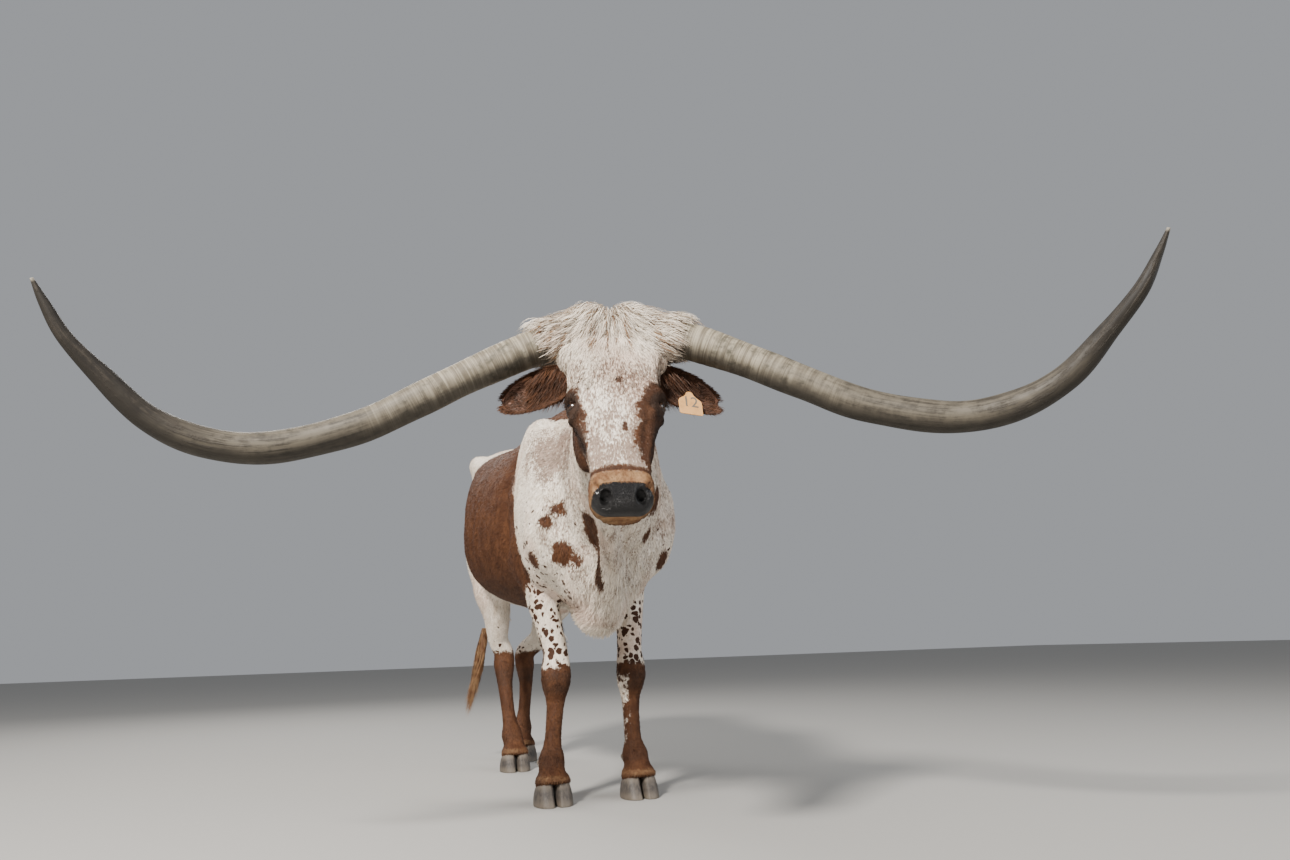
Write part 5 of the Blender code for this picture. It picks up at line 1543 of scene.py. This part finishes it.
class LONGHORN_OT_feet(bpy.types.Operator):
    """Cloven feet and dewclaws with rounded edges"""

    bl_idname = "longhorn.feet"
    bl_label = "Feet"

    def execute(self, context):
        material = claw_finish()
        for name, nodes in (("claws", CLAWS), ("dewclaws", DEWCLAWS)):
            bm = panelled(*nodes)
            softened(bm, 40, 0.0022)
            rounded(finished(name, mesh_of(bm, name), material, nodes))
        return {"FINISHED"}


class LONGHORN_OT_switch(bpy.types.Operator):
    """The switch of the tail in long wavy strands"""

    bl_idname = "longhorn.switch"
    bl_label = "Tail Switch"

    def execute(self, context):
        rng = np.random.default_rng(13)
        low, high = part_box("tail_switch")
        top = Vector((SHIFT.x - 0.155, SHIFT.y + 1.455, high.z))
        count = SWITCH_HAIRS // 1
        depth = rng.random(count) ** 1.6 * 0.17
        turn = rng.uniform(0, 2 * math.pi, count)
        out = np.stack([np.cos(turn), np.sin(turn), np.zeros(count)], axis=1)
        roots = np.array(top) + out * rng.uniform(0.002, 0.013, count)[:, None]
        roots[:, 2] += 0.03 - depth
        roots[:, 0] -= depth * 0.13
        clump = np.floor(rng.random(count) * SWITCH_LOCKS)
        ends = 0.52 + 0.46 * np.sin(clump * 5.1) ** 2
        reach = (roots[:, 2] - low.z) * ends * rng.uniform(0.72, 1.0, count)
        phase = clump * 2.4
        pull = np.stack([np.cos(phase), np.sin(phase), np.zeros(count)], axis=1) * 0.023
        paths = []
        for row in range(SWITCH_POINTS):
            t = row / (SWITCH_POINTS - 1)
            belly = math.sin(math.pi * min(1.0, 0.08 + 0.82 * t))
            point = roots + out * 0.006 * belly * (1 - 0.7 * t) + pull * t**0.8
            point[:, 2] -= reach * t
            point[:, 0] += -0.045 * t + 0.006 * np.sin(8 * t + phase)
            point[:, 1] += 0.007 * np.sin(7 * t + phase * 1.7)
            paths.append(point)
        paths = np.stack(paths, axis=1)
        across = np.cross(out, np.array([0, 0, 1.0])) + rng.normal(0, 0.2, (count, 3))
        across /= np.linalg.norm(across, axis=1)[:, None]
        marks, places = strand_marks(count, 0.75, rng.uniform(0.0, 0.35, count))
        places[:, 1] = rng.uniform(0.55, 1.0, count)
        unwrapped = round_axis(roots, top, 2, low.z, high.z + 0.05)
        widths = rng.uniform(0.0013, 0.0026, count)
        mesh = ribbons("switch_hair", paths, across, widths, marks, places, rng.random(count), unwrapped)
        finished("switch_hair", mesh, bpy.data.materials.get("coat"), ("tail_switch",))
        return {"FINISHED"}


def tag_finish(name, shade):
    """Worn moulded plastic."""
    finish = Finish(name, 0.42)
    scuffs = finish.noise(finish.where, 90.0, 4.0, 0.7)
    grime = finish.noise(finish.where, 30.0, 3.0)
    finish.feed("Base Color", finish.mix(grime.step(0.45, 0.75) * 0.45, shade, dimmed(shade, 0.45)))
    finish.feed("Roughness", 0.34 + scuffs * 0.3)
    finish.bump(scuffs, 0.25, 0.0004)
    return finish.material


class LONGHORN_OT_tag(bpy.types.Operator):
    """The ear tag with a plain number"""

    bl_idname = "longhorn.tag"
    bl_label = "Ear Tag"

    def execute(self, context):
        plastic = tag_finish("tag", colour("tag"))
        ink = tag_finish("tag_ink", (0.17, 0.15, 0.12, 1))
        for node in ("tag_plate", "tag_button"):
            bm = panelled(node)
            if node == "tag_plate":
                short = [edge for edge in bm.edges if edge.calc_length() < 0.003]
                bmesh.ops.bevel(
                    bm, geom=short, offset=0.006, affect="EDGES", segments=4, profile=0.5, material=-1
                )
            softened(bm, 50, 0.0006)
            obj = finished(f"{node}_moulded", mesh_of(bm, f"{node}_moulded"), plastic, (node,))
            obj.data.shade_flat()
        self.number(ink)
        return {"FINISHED"}

    def number(self, ink):
        """Raised plain digits on the plate's face."""
        plate = points_of(frame["nodes"]["tag_plate"].data)
        centre = Vector(plate.mean(axis=0))
        leaf_turn = Matrix.Rotation(math.atan(EAR_SWEEP), 3, "Z")
        normal = (HEAD.to_3x3() @ leaf_turn @ Vector((0, -1, 0))).normalized()
        up = (HEAD.to_3x3() @ Vector((0, 0, 1))).normalized()
        right = up.cross(normal).normalized()
        text = bpy.data.curves.new("digits", "FONT")
        text.body = "12"
        text.size = 0.050
        text.align_x = text.align_y = "CENTER"
        text.extrude = 0.0003
        holder = bpy.data.objects.new("digits", text)
        bpy.context.scene.collection.objects.link(holder)
        bpy.context.view_layer.update()
        mesh = bpy.data.meshes.new_from_object(holder.evaluated_get(bpy.context.evaluated_depsgraph_get()))
        bpy.data.objects.remove(holder)
        turn = Matrix((right, up, normal)).transposed().to_4x4()
        mesh.transform(Matrix.Translation(centre + normal * 0.0014 - up * 0.006) @ turn)
        finished("tag_number", mesh, ink, ())


class LONGHORN_OT_stage(bpy.types.Operator):
    """Pale floor, soft studio light and the camera"""

    bl_idname = "longhorn.stage"
    bl_label = "Stage"

    def execute(self, context):
        scene = context.scene
        low, high = Vector(CAD_BOX[0]), Vector(CAD_BOX[1])
        centre = (low + high) / 2
        bm = bmesh.new()
        bmesh.ops.create_grid(bm, x_segments=1, y_segments=1, size=40)
        floor_mesh = mesh_of(bm, "floor")
        floor = bpy.data.objects.new("floor", floor_mesh)
        scene.collection.objects.link(floor)
        paint = Finish("floor", 0.85)
        paint.feed("Base Color", (0.36, 0.35, 0.33, 1))
        floor_mesh.materials.append(paint.material)
        world = bpy.data.worlds.new("studio")
        world.use_nodes = True
        background = world.node_tree.nodes["Background"]
        background.inputs[0].default_value = (0.92, 0.95, 1.0, 1)
        background.inputs[1].default_value = 0.38
        scene.world = world
        for name, place, size, power, tint in (
            ("key", (-3.9, -4.2, 4.4), 1.0, 1350, (1.0, 0.955, 0.90)),
            ("fill", (4.8, -3.4, 2.2), 4.0, 170, (0.93, 0.96, 1.0)),
            ("rim", (-1.0, 5.2, 4.2), 3.0, 240, (1.0, 0.98, 0.95)),
        ):
            light = bpy.data.lights.new(name, "AREA")
            light.size = size
            light.energy = power
            light.color = tint
            lamp = bpy.data.objects.new(name, light)
            lamp.location = centre + Vector(place)
            lamp.rotation_euler = (-Vector(place)).to_track_quat("-Z", "Y").to_euler()
            scene.collection.objects.link(lamp)
        self.camera(scene)
        return {"FINISHED"}

    def camera(self, scene):
        """A low camera at the animal's right front, turned up a little and rolled slightly."""
        feet = (middle("claw_fore_left_outer") + middle("claw_fore_right_outer")) / 2
        eye = Vector((feet.x + CAMERA_OFFSET[0], feet.y + CAMERA_OFFSET[1], CAMERA_HEIGHT))
        lens = bpy.data.cameras.new("camera")
        lens.sensor_width = 36
        lens.lens = 24
        camera = bpy.data.objects.new("camera", lens)
        yaw, lift, roll = (math.radians(angle) for angle in CAMERA_AIM)
        turn = Matrix.Rotation(yaw, 4, "Z") @ Matrix.Rotation(math.pi / 2 + lift, 4, "X")
        camera.matrix_world = Matrix.Translation(eye) @ turn @ Matrix.Rotation(roll, 4, "Z")
        scene.collection.objects.link(camera)
        scene.camera = camera


OPERATORS = (
    LONGHORN_OT_hide,
    LONGHORN_OT_coat,
    LONGHORN_OT_horns,
    LONGHORN_OT_poll,
    LONGHORN_OT_ears,
    LONGHORN_OT_eyes,
    LONGHORN_OT_feet,
    LONGHORN_OT_switch,
    LONGHORN_OT_tag,
    LONGHORN_OT_stage,
)


class LONGHORN_PT_pieces(bpy.types.Panel):
    """Lists the pieces of the longhorn"""

    bl_label = "Longhorn"
    bl_idname = "LONGHORN_PT_pieces"
    bl_space_type = "VIEW_3D"
    bl_region_type = "UI"
    bl_category = "Longhorn"

    def draw(self, context):
        for operator in OPERATORS:
            self.layout.operator(operator.bl_idname)
        for group in (context.scene.longhorn_sizes, context.scene.longhorn_colours):
            for key in group.bl_rna.properties.keys():
                if key not in ("rna_type", "name"):
                    self.layout.prop(group, key)


CLASSES = (LonghornSizes, LonghornColours, *OPERATORS, LONGHORN_PT_pieces)


def register():
    for cls in CLASSES:
        bpy.utils.register_class(cls)
    bpy.types.Scene.longhorn_sizes = PointerProperty(type=LonghornSizes)
    bpy.types.Scene.longhorn_colours = PointerProperty(type=LonghornColours)


def unregister():
    del bpy.types.Scene.longhorn_colours
    del bpy.types.Scene.longhorn_sizes
    for cls in reversed(CLASSES):
        bpy.utils.unregister_class(cls)


def main():
    """Builds every piece in order."""
    register()
    for operator in OPERATORS:
        group, call = operator.bl_idname.split(".")
        getattr(getattr(bpy.ops, group), call)()


if __name__ == "__main__":
    main()
